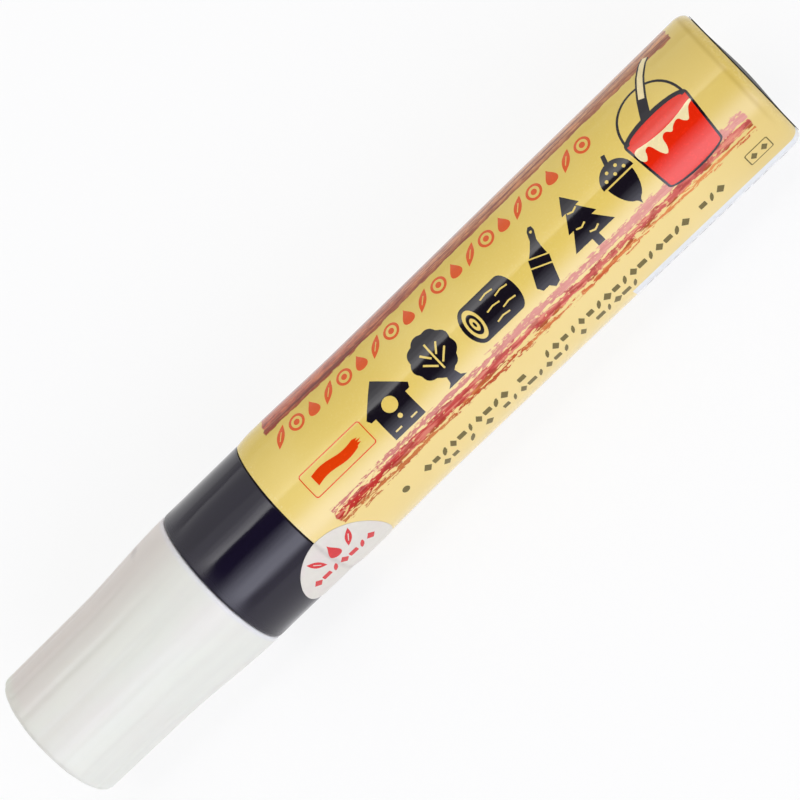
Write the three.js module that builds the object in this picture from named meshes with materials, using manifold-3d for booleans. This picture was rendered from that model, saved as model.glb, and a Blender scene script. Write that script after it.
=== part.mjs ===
// Wood paint marker: a valve-fed paint pen with a push-on cap, lying on its side.
// Millimetres, +Z up. The pen's axis runs along X, with the cap towards -X and the tail towards +X.
// A turned piece is drawn as [radius, station] points, where a station is the distance from the tail end.

import * as THREE from "three";
import { mergeVertices } from "three/addons/utils/BufferGeometryUtils.js";
import Module from "manifold-3d";

// Body: the label's outside is widest at its front bead and at the tail, with a slight waist between.
const bodyRadius = 13.6;
const bodyLength = 98.4;
const waistDepth = 0.28;
const waistReach = 22;
const beadLength = 3;
const tailRound = 1.4;
const labelWall = 0.2;
const barrelWall = 1.2;
const shoulderWall = 1.6;
const neckLength = 10;
const neckWall = 1.5;

// Tail plug: a flanged cup pressed into the barrel.
const plugFlange = 0.5;
const plugFlangeInset = 1.1;
const plugFloor = 1.4;
const plugDepth = 7.6;
const plugWall = 1.3;

// Front holder: the collar that shows, then the cap's land, the nose and the nib's bore.
const collarStep = 0.24;
const collarLength = 16.8;
const collarWall = 2.2;
const collarEdge = 0.3;
const landLength = 7.5;
const landEdge = 0.4;
const snapRise = 0.12;
const snapWidth = 1.2;
const noseLength = 20.5;
const noseConeLength = 4;
const noseFlare = 1.9;
const noseWall = 2.95;
const noseChamfer = 1.2;

// Cap: an outer shell with a flared mouth and shallow flutes, and an inner cup that seals on the nose.
const capMouthWall = 1.3;
const capWall = 1.3;
const capEndWall = 1.8;
const capEndRound = 1;
const capTaper = 0.15;
const flareRise = 0.96;
const flareStart = 16.8;
const flareEnd = 4.5;
const fluteDepth = 0.22;
const linerWall = 0.9;
const linerEndWall = 1.2;
const linerGap = 1.6;
const linerSeal = 7.9;

// Nib: a felt rod with two flats and a slanted writing edge.
const nibReach = 9.2;
const nibRoom = 5.4;
const nibEdgeThickness = 4;
const nibFlatLength = 8;
const nibSlant = THREE.MathUtils.degToRad(32);
const nibSocketDepth = 4;
const nibRearEdge = 0.5;

// Valve: a spring holds the stem's head forwards on the seat, and the nib pushes it back by the stroke.
const stroke = 3;
const strokeSpare = 0.5;
const gasketThickness = 0.8;
const flangeThickness = 1.6;
const seatThickness = 1.4;
const flowGap = 2.2;
const caseWall = 1.4;
const caseLip = 0.8;
const windowWidth = 4;
const windowLength = 7;
const windowCount = 4;
const windowSetback = 4;
const stemRadius = 1.6;
const stemFlow = 0.8;
const stemTail = 1;
const headThickness = 2;
const headFlow = 1.5;
const retainerThickness = 2;
const springLength = 13.5;
const springTurns = 7;
const springWire = 0.4;
const springInset = 0.3;

// Mixing balls: two balls side by side at the bottom of the reservoir.
const ballRadius = 3.5;
const ballStation = 40;

// Round sticker over the label's front edge, facing -Y.
const stickerRadius = 8.75;
const stickerWall = 0.2;
const stickerSetback = 0.9;

// Clearances between neighbouring pieces.
const seatGap = 0.1;
const shoulderGap = 0.2;
const skinClear = 0.1;
const fitClear = 0.15;
const slideClear = 0.25;
const ballGap = 0.3;

// Facets round a turned piece, along a curve of its profile, and round and along the spring's wire.
const bodySides = 32;
const valveSides = 20;
const stickerSides = 40;
const stickerArcSides = 96;
const curveSteps = 6;
const cornerSteps = 4;
const wireSides = 5;
const stepsPerTurn = 8;
const ballSides = 16;
const ballRings = 10;

// Radii that follow from the body, working inwards.
const barrelInset = labelWall + skinClear;
const barrelBore = bodyRadius - waistDepth - barrelInset - barrelWall;
const collarRadius = bodyRadius - collarStep;
const skirtBore = collarRadius - collarWall;
const neckRadius = skirtBore - fitClear;
const neckBore = neckRadius - neckWall;
const capMainRadius = collarRadius - flareRise;
const capEndRadius = capMainRadius - capTaper;
const capBore = capEndRadius - capWall;
const mouthBore = collarRadius - capMouthWall;
const landRadius = mouthBore - slideClear;
const linerRadius = capBore - linerGap;
const linerBore = linerRadius - linerWall;
const noseRadius = linerBore - slideClear;
const nibBore = noseRadius - noseWall;
const nibRadius = nibBore - slideClear;
const caseRadius = neckBore - flowGap;
const caseBore = caseRadius - caseWall;
const orifice = stemRadius + stemFlow;
const headRadius = caseBore - headFlow;
const springRadius = headRadius - springInset - springWire;
const socketRadius = stemRadius + fitClear;

// Stations along the axis, from the tail end to the cap's closed end.
const rim = plugFlange + seatGap;
const shoulder = rim + bodyLength;
const neckEnd = shoulder + neckLength;
const gasketRear = neckEnd + seatGap;
const flangeRear = gasketRear + gasketThickness + seatGap;
const flangeFront = flangeRear + flangeThickness;
const holderInner = flangeFront + seatGap;
const holderRear = shoulder + shoulderGap;
const capStop = shoulder + collarLength;
const landEnd = capStop + landLength;
const noseBase = landEnd + landEdge;
const noseEnd = capStop + noseLength;
const nibRear = holderInner + stroke + strokeSpare;
const socketEnd = nibRear + nibSocketDepth;
const nibTip = noseEnd + nibReach;
const capMouth = capStop + seatGap;
const linerEnd = nibTip + nibRoom;
const linerBack = linerEnd + linerEndWall;
const capInnerEnd = linerBack + seatGap;
const overallLength = capInnerEnd + capEndWall;
const seatFront = flangeRear - seatGap;
const seatRear = seatFront - seatThickness;
const headFront = seatRear - seatGap;
const headRear = headFront - headThickness;
const retainerFront = headRear - springLength;
const retainerRear = retainerFront - retainerThickness;
const caseRear = retainerRear - caseLip;

const wasm = await Module();
wasm.setup();

// Turns a profile of [radius, station, groove] points about the axis. A groove sinks every second
// column of points by its depth, which makes lengthwise flutes.
function turned(profile, sides = bodySides) {
  const points = profile.map(([radius, station]) => new THREE.Vector2(radius, station));
  const geometry = new THREE.LatheGeometry(points, sides, Math.PI / sides);
  const position = geometry.attributes.position;
  for (let i = 0; i < position.count; i += 1) {
    const column = Math.floor(i / profile.length);
    const [radius, , groove = 0] = profile[i % profile.length];
    if (groove > 0 && column % 2 === 1) {
      const share = (radius - groove) / radius;
      position.setX(i, position.getX(i) * share);
      position.setZ(i, position.getZ(i) * share);
    }
  }
  return geometry;
}

// Turns a closed outline that never reaches the axis.
function ring(profile, sides = bodySides) {
  return turned([...profile, profile[0]], sides);
}

// A quarter round from pointing along the axis (turn -1 for the tail, 1 for the cap) to pointing out.
function corner(centreRadius, centreStation, round, turn, groove = 0) {
  const points = [];
  for (let i = 0; i <= cornerSteps; i += 1) {
    const angle = (i / cornerSteps) * (Math.PI / 2);
    points.push([
      centreRadius + round * Math.sin(angle),
      centreStation + turn * round * Math.cos(angle),
      i === cornerSteps ? groove : 0,
    ]);
  }
  return points;
}

// The body's outside from the tail rim to the shoulder, drawn in from the label's surface by inset.
function bodyOutline(inset) {
  const crown = shoulder - beadLength;
  const halfBead = shoulder - beadLength / 2;
  return [
    ...corner(bodyRadius - tailRound, rim + tailRound, tailRound - inset, -1),
    [bodyRadius - waistDepth - inset, shoulder - waistReach],
    [bodyRadius - inset, crown],
    [bodyRadius - collarStep / 4 - inset, halfBead],
    [bodyRadius - collarStep - inset, shoulder],
  ];
}

// The cap's outside at a distance behind its mouth: a smooth flare between the main bore and the mouth.
function capFlare(reach) {
  const share = THREE.MathUtils.smoothstep(flareStart - reach, 0, flareStart - flareEnd);
  return capMainRadius + flareRise * share;
}

function solid(geometry) {
  const bare = geometry.clone();
  bare.deleteAttribute("normal");
  bare.deleteAttribute("uv");
  const merged = mergeVertices(bare);
  return new wasm.Manifold(new wasm.Mesh({
    numProp: 3,
    vertProperties: new Float32Array(merged.attributes.position.array),
    triVerts: new Uint32Array(merged.index.array),
  }));
}

function fromSolid(body) {
  const mesh = body.getMesh();
  const geometry = new THREE.BufferGeometry();
  geometry.setAttribute("position", new THREE.BufferAttribute(mesh.vertProperties, mesh.numProp));
  geometry.setIndex(new THREE.BufferAttribute(mesh.triVerts, 1));
  geometry.computeVertexNormals();
  return geometry;
}

function barrelTube() {
  return ring([
    [barrelBore, rim + barrelInset],
    ...bodyOutline(barrelInset),
    [neckRadius, shoulder],
    [neckRadius, neckEnd],
    [neckBore, neckEnd],
    [neckBore, shoulder - shoulderWall],
    [barrelBore, shoulder - shoulderWall],
  ]);
}

function labelSleeve() {
  return ring([...bodyOutline(0), ...bodyOutline(labelWall).reverse()]);
}

// A disc cut from a thin shell that lies just over the label's bead.
function colourSticker() {
  const inner = bodyRadius + skinClear;
  const outer = inner + stickerWall;
  const centre = shoulder - stickerSetback;
  const shell = ring([
    [inner, centre - 2 * stickerRadius],
    [outer, centre - 2 * stickerRadius],
    [outer, centre + 2 * stickerRadius],
    [inner, centre + 2 * stickerRadius],
  ], stickerArcSides);
  const punch = new THREE.CylinderGeometry(stickerRadius, stickerRadius, 2 * outer, stickerSides);
  punch.rotateZ(Math.PI / 2);
  punch.translate(-outer, centre, 0);
  return fromSolid(solid(shell).intersect(solid(punch)));
}

function tailPlug() {
  const plugRadius = barrelBore - fitClear;
  const flangeRadius = bodyRadius - plugFlangeInset;
  const cup = plugRadius - plugWall;
  return turned([
    [0, 0],
    [flangeRadius - plugFlange / 2, 0],
    [flangeRadius, plugFlange / 2],
    [flangeRadius, plugFlange],
    [plugRadius, plugFlange],
    [plugRadius, plugFlange + plugDepth - plugWall / 2],
    [plugRadius - plugWall / 2, plugFlange + plugDepth],
    [cup, plugFlange + plugDepth],
    [cup, plugFloor],
    [0, plugFloor],
  ]);
}

function frontHolder() {
  const snap = capStop + landLength / 2;
  return ring([
    [skirtBore, holderRear],
    [collarRadius - collarEdge, holderRear],
    [collarRadius, holderRear + collarEdge],
    [collarRadius, capStop - collarEdge],
    [collarRadius - collarEdge, capStop],
    [landRadius, capStop],
    [landRadius, snap - snapWidth],
    [landRadius + snapRise, snap - snapWidth / 2],
    [landRadius + snapRise, snap + snapWidth / 2],
    [landRadius, snap + snapWidth],
    [landRadius, landEnd],
    [landRadius - landEdge, noseBase],
    [noseRadius + noseFlare, noseBase],
    [noseRadius, noseBase + noseConeLength],
    [noseRadius, noseEnd - noseChamfer],
    [noseRadius - noseChamfer, noseEnd],
    [nibBore, noseEnd],
    [nibBore, holderInner],
    [skirtBore, holderInner],
  ]);
}

function neckGasket() {
  return ring([
    [neckBore, gasketRear],
    [neckRadius, gasketRear],
    [neckRadius, gasketRear + gasketThickness],
    [neckBore, gasketRear + gasketThickness],
  ]);
}

// The flange clamps between gasket and collar, and the tube behind it has windows for the paint.
function valveCase() {
  const body = ring([
    [caseBore, caseRear],
    [caseRadius, caseRear],
    [caseRadius, flangeRear],
    [skirtBore - fitClear, flangeRear],
    [skirtBore - fitClear, flangeFront],
    [orifice, flangeFront],
    [orifice, flangeRear],
    [caseBore, flangeRear],
  ]);
  let windowed = solid(body);
  for (let i = 0; i < windowCount; i += 1) {
    const slot = new THREE.BoxGeometry(2 * caseWall + caseBore, windowLength, windowWidth);
    slot.translate(caseBore, headFront - windowSetback - windowLength / 2, 0);
    slot.rotateY((i * 2 * Math.PI) / windowCount);
    windowed = windowed.subtract(solid(slot));
  }
  return fromSolid(windowed);
}

function valveSeat() {
  return ring([
    [orifice, seatRear],
    [caseBore - fitClear, seatRear],
    [caseBore - fitClear, seatFront],
    [orifice, seatFront],
  ], valveSides);
}

function valveStem() {
  const tip = socketEnd - seatGap;
  return turned([
    [0, retainerRear - stemTail],
    [stemRadius, retainerRear - stemTail],
    [stemRadius, headRear],
    [headRadius, headRear],
    [headRadius, headFront],
    [stemRadius, headFront],
    [stemRadius, tip],
    [0, tip],
  ], valveSides);
}

function springRetainer() {
  const hole = stemRadius + slideClear;
  return ring([
    [hole, retainerRear],
    [caseBore - fitClear, retainerRear],
    [caseBore - fitClear, retainerFront],
    [hole, retainerFront],
  ], valveSides);
}

// One unbroken wire wound round the stem, between the retainer and the stem's head.
function valveSpring() {
  const steps = springTurns * stepsPerTurn;
  const first = retainerFront + seatGap + springWire;
  const last = headRear - seatGap - springWire;
  const path = [];
  for (let i = 0; i <= steps; i += 1) {
    const angle = (i / stepsPerTurn) * 2 * Math.PI;
    const station = first + (i / steps) * (last - first);
    path.push(new THREE.Vector3(springRadius * Math.sin(angle), station, springRadius * Math.cos(angle)));
  }
  reportLeastGap(path);
  const vertices = [];
  path.forEach((point, i) => {
    const angle = (i / stepsPerTurn) * 2 * Math.PI;
    const outwards = new THREE.Vector3(Math.sin(angle), 0, Math.cos(angle));
    for (let j = 0; j < wireSides; j += 1) {
      const turn = (j / wireSides) * 2 * Math.PI;
      const vertex = point.clone().addScaledVector(outwards, springWire * Math.cos(turn));
      vertex.y += springWire * Math.sin(turn);
      vertices.push(...vertex);
    }
  });
  const faces = [];
  for (let i = 0; i < steps; i += 1) {
    for (let j = 0; j < wireSides; j += 1) {
      const here = i * wireSides + j;
      const beside = i * wireSides + ((j + 1) % wireSides);
      faces.push(here, here + wireSides, beside);
      faces.push(beside, here + wireSides, beside + wireSides);
    }
  }
  const end = steps * wireSides;
  for (let j = 1; j < wireSides - 1; j += 1) {
    faces.push(0, j, j + 1);
    faces.push(end, end + j + 1, end + j);
  }
  const geometry = new THREE.BufferGeometry();
  geometry.setAttribute("position", new THREE.Float32BufferAttribute(vertices, 3));
  geometry.setIndex(faces);
  return geometry;
}

// Prints the least gap between the spring's wire and its neighbouring turns.
function reportLeastGap(path) {
  let least = Infinity;
  for (let i = 0; i < path.length; i += 1) {
    for (let j = i + stepsPerTurn / 2; j < path.length; j += 1) {
      least = Math.min(least, path[i].distanceTo(path[j]) - 2 * springWire);
    }
  }
  console.log(`valve_spring: least gap between turns ${least.toFixed(2)} mm`);
}

// A felt rod with a socket for the stem, two flats at the front and a slanted edge between them.
function nib() {
  let rod = solid(turned([
    [0, socketEnd],
    [socketRadius, socketEnd],
    [socketRadius, nibRear],
    [nibRadius - nibRearEdge, nibRear],
    [nibRadius, nibRear + nibRearEdge],
    [nibRadius, nibTip],
    [0, nibTip],
  ]));
  const cutterSize = 8 * nibRadius;
  const flatAngle = Math.atan2(nibRadius - nibEdgeThickness / 2, nibFlatLength);
  for (const side of [1, -1]) {
    const flat = new THREE.BoxGeometry(cutterSize, cutterSize, cutterSize);
    flat.translate(0, 0, (side * cutterSize) / 2);
    flat.rotateX(-side * flatAngle);
    flat.translate(0, nibTip, (side * nibEdgeThickness) / 2);
    rod = rod.subtract(solid(flat));
  }
  const slant = new THREE.BoxGeometry(cutterSize, cutterSize, cutterSize);
  slant.translate(0, cutterSize / 2, 0);
  slant.rotateZ(nibSlant);
  slant.translate(nibRadius, nibTip, 0);
  return fromSolid(rod.subtract(solid(slant)));
}

function capShell() {
  const flare = [];
  for (let i = 0; i <= curveSteps; i += 1) {
    const reach = flareEnd + (i / curveSteps) * (flareStart - flareEnd);
    flare.push([capFlare(reach), capMouth + reach, i === curveSteps ? fluteDepth : 0]);
  }
  const endCorner = corner(capEndRadius - capEndRound, overallLength - capEndRound, capEndRound, 1, fluteDepth);
  return turned([
    [0, capInnerEnd],
    [capBore, capInnerEnd],
    [capBore, landEnd + (mouthBore - capBore) + slideClear],
    [mouthBore, landEnd + slideClear],
    [mouthBore, capMouth],
    [collarRadius - collarEdge, capMouth],
    [collarRadius, capMouth + collarEdge],
    ...flare,
    ...endCorner.reverse(),
    [0, overallLength],
  ]);
}

function capLiner() {
  const mouth = noseEnd - linerSeal;
  return turned([
    [0, linerEnd],
    [linerBore, linerEnd],
    [linerBore, mouth],
    [linerRadius, mouth],
    [linerRadius, linerEnd],
    [capBore - fitClear, linerEnd],
    [capBore - fitClear, linerBack],
    [0, linerBack],
  ]);
}

function mixingBall(side) {
  const reach = barrelBore * Math.cos(Math.PI / bodySides) - ballGap - ballRadius;
  const lane = Math.asin((ballRadius + ballGap / 2) / reach);
  const ball = new THREE.SphereGeometry(ballRadius, ballSides, ballRings);
  ball.translate(side * reach * Math.sin(lane), ballStation, -reach * Math.cos(lane));
  return ball;
}

const marker = new THREE.Group();
marker.name = "wood_paint_marker";
marker.rotation.z = Math.PI / 2;
marker.position.set(overallLength / 2, 0, bodyRadius * Math.cos(Math.PI / bodySides));

function place(name, geometry, color, roughness, metalness = 0) {
  const mesh = new THREE.Mesh(geometry, new THREE.MeshStandardMaterial({ color, roughness, metalness }));
  mesh.name = name;
  marker.add(mesh);
}

place("barrel_tube", barrelTube(), 0xe8e6e0, 0.5);
place("label_sleeve", labelSleeve(), 0xf2c530, 0.25);
place("colour_sticker", colourSticker(), 0xe4e2e6, 0.35);
place("tail_plug", tailPlug(), 0x26242e, 0.3);
place("front_holder", frontHolder(), 0x26242e, 0.22);
place("neck_gasket", neckGasket(), 0x555555, 0.8);
place("valve_case", valveCase(), 0xdcdad2, 0.45);
place("valve_seat", valveSeat(), 0x444444, 0.8);
place("spring_retainer", springRetainer(), 0xdcdad2, 0.45);
place("valve_stem", valveStem(), 0xcfd2d6, 0.4);
place("valve_spring", valveSpring(), 0xb8bcc2, 0.3, 1);
place("nib", nib(), 0xf0ece0, 0.95);
place("cap_shell", capShell(), 0xf0eeee, 0.4);
place("cap_liner", capLiner(), 0xeceae4, 0.45);
place("mixing_ball_1", mixingBall(1), 0xc4c8cc, 0.2, 1);
place("mixing_ball_2", mixingBall(-1), 0xc4c8cc, 0.2, 1);

export default marker;
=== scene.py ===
# %% [markdown]
# # A wood paint marker
# This pen touches up furniture. It has a round bottle in a printed film, a dark collar that holds a felt
# nib and its valve, and a pale push-on cap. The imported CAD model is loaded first, as a fixed frame. Each
# piece is then made again with a finer mesh in the same place, and gets a finish made of nodes.

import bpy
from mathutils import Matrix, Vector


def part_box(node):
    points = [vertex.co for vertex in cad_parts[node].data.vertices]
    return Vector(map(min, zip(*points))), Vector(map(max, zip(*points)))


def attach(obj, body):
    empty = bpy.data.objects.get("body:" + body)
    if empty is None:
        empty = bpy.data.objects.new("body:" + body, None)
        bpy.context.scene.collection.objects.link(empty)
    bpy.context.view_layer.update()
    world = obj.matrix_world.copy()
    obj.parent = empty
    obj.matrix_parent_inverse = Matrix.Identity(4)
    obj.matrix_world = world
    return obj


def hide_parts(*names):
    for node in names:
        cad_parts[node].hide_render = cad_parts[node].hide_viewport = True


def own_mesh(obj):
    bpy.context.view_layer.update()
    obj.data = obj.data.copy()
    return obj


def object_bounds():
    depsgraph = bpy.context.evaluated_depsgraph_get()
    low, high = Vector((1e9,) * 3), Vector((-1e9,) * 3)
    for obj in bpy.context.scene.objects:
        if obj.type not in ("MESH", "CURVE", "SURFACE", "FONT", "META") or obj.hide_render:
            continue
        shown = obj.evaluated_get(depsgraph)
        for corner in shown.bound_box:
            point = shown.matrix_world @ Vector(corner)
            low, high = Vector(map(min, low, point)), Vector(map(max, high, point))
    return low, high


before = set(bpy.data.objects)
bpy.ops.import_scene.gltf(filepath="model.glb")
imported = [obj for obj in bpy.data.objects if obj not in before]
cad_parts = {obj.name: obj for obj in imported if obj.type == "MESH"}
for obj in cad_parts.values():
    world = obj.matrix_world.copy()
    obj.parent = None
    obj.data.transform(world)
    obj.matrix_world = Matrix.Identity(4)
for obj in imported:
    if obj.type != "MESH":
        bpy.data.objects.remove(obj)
cad_low, cad_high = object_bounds()

# %% [markdown]
# ## Measure the frame
# A turned piece needs two numbers for each point: its station, which is the distance from the tail end in
# millimetres, and its radius from the axis. Reading them from the frame keeps every new mesh where the
# solid is. The solids have 32 flat sides, so their boxes are measured across flats and a true radius is a
# little more than half the width.

# %% Stations and radii
import math

import bmesh
import bpy
from mathutils import Matrix, Vector
from mathutils.geometry import tessellate_polygon

MM = 0.001
FRAME_SIDES = 32
VALVE_SIDES = 20
TAIL_X = cad_high.x
AXIS_Z = sum(corner.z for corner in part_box("tail_plug")) / 2


def span(node, sides=FRAME_SIDES):
    """Stations of a node's tail end and cap end, and its outer radius, in mm."""
    low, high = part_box(node)
    radius = (high.y - low.y) / 2 / math.cos(math.pi / sides)
    return (TAIL_X - high.x) / MM, (TAIL_X - low.x) / MM, radius / MM


def spot(station, radius, angle):
    """The point at a station and radius, at an angle in radians above the front horizon."""
    across = -radius * MM * math.cos(angle)
    return Vector((TAIL_X - station * MM, across, AXIS_Z + radius * MM * math.sin(angle)))


FILM_REAR, FILM_FRONT, BODY_RADIUS = span("label_sleeve")
COLLAR_REAR, NOSE_END, COLLAR_RADIUS = span("front_holder")
CAP_MOUTH, CAP_END, CAP_MOUTH_RADIUS = span("cap_shell")
print(f"film {FILM_REAR:.1f} to {FILM_FRONT:.1f} mm, radius {BODY_RADIUS:.2f}")
print(f"collar and nose {COLLAR_REAR:.1f} to {NOSE_END:.1f} mm, radius {COLLAR_RADIUS:.2f}")
print(f"cap {CAP_MOUTH:.1f} to {CAP_END:.1f} mm, mouth radius {CAP_MOUTH_RADIUS:.2f}")

# %% [markdown]
# ## The camera
# The photograph looks down on the marker from the front, half a metre away. The tail is nearer to the
# camera, so the marker grows a little towards it, and the picture is rolled so that the marker climbs to
# the right. The camera is placed by those facts: how far it stands from the axis, where along the marker
# it stands, how much it leans towards the cap, and the roll.

# %% Camera
CAMERA_REACH = 506.9
CAMERA_STATION = 2.04
CAMERA_LEAN = math.radians(8.21)
CAMERA_ROLL = math.radians(44)
CAMERA_LENS = 144.8
AXIS_DROP = 0.55
FACING = math.radians(64.6)

scene = bpy.context.scene
scene.view_settings.view_transform = "Standard"


def placed(name, data):
    """A new object in the scene."""
    made = bpy.data.objects.new(name, data)
    scene.collection.objects.link(made)
    return made


along = Vector((1, 0, 0))
facing = Vector((0, -math.cos(FACING), math.sin(FACING)))
above = facing.cross(along)
look = -math.sin(CAMERA_LEAN) * along - math.cos(CAMERA_LEAN) * facing
level = math.cos(CAMERA_LEAN) * along - math.sin(CAMERA_LEAN) * facing
right = math.cos(CAMERA_ROLL) * level - math.sin(CAMERA_ROLL) * above
up = math.sin(CAMERA_ROLL) * level + math.cos(CAMERA_ROLL) * above
eye = spot(CAMERA_STATION, CAMERA_REACH, FACING) + AXIS_DROP * MM * above

camera = placed("camera", bpy.data.cameras.new("camera"))
camera.data.lens = CAMERA_LENS
camera.matrix_world = Matrix((right, up, -look)).transposed().to_4x4()
camera.matrix_world.translation = eye
scene.camera = camera
print("camera at", [round(value, 3) for value in eye])

# %% [markdown]
# ## Node trees written as formulas
# Materials and Geometry Nodes are both trees of nodes. Adding and linking each one by hand takes many
# lines, so a Wire stands for one output socket, and arithmetic on a Wire adds a Math node. A tint is a
# colour as it is seen on a screen, turned into the linear numbers that the shaders want.


# %% Wires and tints
class Wire:
    """One output socket of a node tree. Arithmetic on it adds Math nodes."""

    def __init__(self, tree, socket):
        self.tree = tree
        self.socket = socket

    def out(self, name):
        """Another output of the same node."""
        return Wire(self.tree, self.socket.node.outputs[name])

    def math(self, operation, *others):
        return add(self.tree, "ShaderNodeMath", enumerate((self, *others)), operation=operation)

    def __add__(self, other):
        return self.math("ADD", other)

    def __sub__(self, other):
        return self.math("SUBTRACT", other)

    def __rsub__(self, other):
        return add(self.tree, "ShaderNodeMath", {0: other, 1: self}, operation="SUBTRACT")

    def __mul__(self, other):
        return self.math("MULTIPLY", other)

    def __truediv__(self, other):
        return self.math("DIVIDE", other)

    __radd__ = __add__
    __rmul__ = __mul__


def plug(tree, value, socket):
    """Links a Wire to a socket, or sets the socket to a plain value."""
    if isinstance(value, Wire):
        tree.links.new(value.socket, socket)
    else:
        socket.default_value = value


def add(tree, kind, inputs=(), output=0, **settings):
    """Adds a node with its settings and inputs, and returns one of its outputs."""
    made = tree.nodes.new(kind)
    for key, value in settings.items():
        setattr(made, key, value)
    for key, value in dict(inputs).items():
        plug(tree, value, made.inputs[key])
    return Wire(tree, made.outputs[output])


def ease(value, low, high, first=0.0, last=1.0):
    """A smooth step from first, where a Wire is below low, to last, where it is above high."""
    ends = {"From Min": low, "From Max": high, "To Min": first, "To Max": last}
    return add(value.tree, "ShaderNodeMapRange", {"Value": value, **ends}, interpolation_type="SMOOTHSTEP")


def tint(red, green, blue):
    """A screen colour of 0 to 255 as linear red, green, blue and alpha."""
    shares = [value / 255 for value in (red, green, blue)]
    linear = [c / 12.92 if c <= 0.04045 else ((c + 0.055) / 1.055) ** 2.4 for c in shares]
    return (*linear, 1.0)


print("mid grey is", round(tint(128, 128, 128)[0], 3), "in linear light")

# %% [markdown]
# ## Floor, lamps and world
# Studio light for a shiny tube is long soft boxes beside it, because the tube shows them as straight bands
# along its length. One box hangs over the back and one over the front, and the gap between them gives the
# dark band on the collar. A soft box is brightest in its middle, so each is a nest of lamps, one narrower
# than the next. The floor is pale, and part of its white is its own for the camera and for reflections, so
# it stays white and still shows the marker's shadow.

# %% Lamps and world
LAMP_REACH = 1.0
LAMP_LENGTH = 1.7
BACK_LOW = 86
BACK_BOXES = ((164, 0.86), (120, 0.22), (104, 0.4), (97, 0.9), (92, 0.8))
FRONT_BOXES = ((13, 61, 0.35), (15, 57, 0.45), (17, 52, 0.55), (19, 47, 0.7), (21, 41, 0.6), (23, 37, 0.6))
WHITE = (1, 1, 1)
COOL = (0.97, 0.985, 1.13)
SKY_HEIGHTS = (0.12, 0.55)
SKY_STRENGTHS = (0.7, 0.03)


def softbox(name, low, high, radiance, colour):
    """A long lamp that spans angles low to high, in degrees above the front horizon."""
    middle = math.radians((low + high) / 2)
    width = 2 * LAMP_REACH * math.tan(math.radians(high - low) / 2)
    light = bpy.data.lights.new(name, "AREA")
    light.shape = "RECTANGLE"
    light.size = LAMP_LENGTH
    light.size_y = width
    light.energy = radiance * math.pi * LAMP_LENGTH * width
    light.color = colour
    lamp = placed(name, light)
    away = Vector((0, -math.cos(middle), math.sin(middle)))
    lamp.matrix_world = Matrix((along, away.cross(along), away)).transposed().to_4x4()
    lamp.matrix_world.translation = Vector((0, 0, AXIS_Z)) + LAMP_REACH * away
    lamp.visible_camera = False
    print(name, f"{width:.2f} m wide, {light.energy:.1f} W")


for number, (high, radiance) in enumerate(BACK_BOXES):
    softbox(f"back_box_{number}", BACK_LOW, high, radiance, WHITE)
for number, (low, high, radiance) in enumerate(FRONT_BOXES):
    softbox(f"front_box_{number}", low, high, radiance, COOL)

scene.world = bpy.data.worlds.new("studio")
scene.world.use_nodes = True
sky = scene.world.node_tree
height = add(sky, "ShaderNodeTexCoord", output="Generated")
height = add(sky, "ShaderNodeSeparateXYZ", {"Vector": height}, output="Z")
plug(sky, ease(height, *SKY_HEIGHTS, *SKY_STRENGTHS), sky.nodes["Background"].inputs["Strength"])
plug(sky, (*WHITE, 1), sky.nodes["Background"].inputs["Color"])

# %% Floor
FLOOR_SIZE = 8.0
FLOOR_GAP = 0.1 * MM
FLOOR_TONE = (0.9, 0.9, 0.9, 1)
OWN_WHITE = 0.85

paper = bpy.data.materials.new("pale_floor")
paper.use_nodes = True
tree = paper.node_tree
path = add(tree, "ShaderNodeLightPath", output="Is Camera Ray")
seen = path.math("MAXIMUM", path.out("Is Glossy Ray")).math("MAXIMUM", path.out("Is Transmission Ray"))
matt = add(tree, "ShaderNodeBsdfDiffuse", {"Color": FLOOR_TONE})
white = add(tree, "ShaderNodeEmission", {"Color": (*WHITE, 1), "Strength": 1.0})
mixed = add(tree, "ShaderNodeMixShader", {0: seen * OWN_WHITE, 1: matt, 2: white})
plug(tree, mixed, tree.nodes["Material Output"].inputs["Surface"])

half = FLOOR_SIZE / 2
floor_z = cad_low.z - FLOOR_GAP
floor_mesh = bpy.data.meshes.new("floor")
floor_corners = [(x, y, floor_z) for x, y in ((-half, -half), (half, -half), (half, half), (-half, half))]
floor_mesh.from_pydata(floor_corners, [], [(0, 1, 2, 3)])
floor_mesh.materials.append(paper)
floor = placed("floor", floor_mesh)
print("floor at", round(floor_z / MM, 2), "mm")

# %% [markdown]
# ## Turning a piece
# Nearly every piece of a marker is round, so one helper turns an outline about the axis. The outline is a
# closed row of corners, and a corner with a round becomes an arc, because a moulded edge is never quite
# sharp and its round is what catches the light. A Screw modifier could do the turning, but plain mesh code
# closes the poles and the seam by itself.

# %% Outlines
ARC_STEPS = 5


def rounded(corners):
    """A closed outline from (station, radius, round) corners, with each round drawn as an arc."""
    points = []
    for index, (station, radius, fillet) in enumerate(corners):
        here = Vector((station, radius))
        if not fillet:
            points.append(here)
            continue
        back = (Vector(corners[index - 1][:2]) - here).normalized()
        ahead = (Vector(corners[(index + 1) % len(corners)][:2]) - here).normalized()
        half_turn = back.angle(ahead) / 2
        centre = here + (back + ahead).normalized() * fillet / math.sin(half_turn)
        start = here + back * fillet / math.tan(half_turn) - centre
        end = here + ahead * fillet / math.tan(half_turn) - centre
        first = math.atan2(start.y, start.x)
        sweep = (math.atan2(end.y, end.x) - first + math.pi) % math.tau - math.pi
        for step in range(ARC_STEPS + 1):
            turn = first + sweep * step / ARC_STEPS
            points.append(centre + fillet * Vector((math.cos(turn), math.sin(turn))))
    return points


print("a rounded corner has", ARC_STEPS + 1, "points")

# %% Turned meshes
SIDES = 128
SHARP = math.radians(35)


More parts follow.
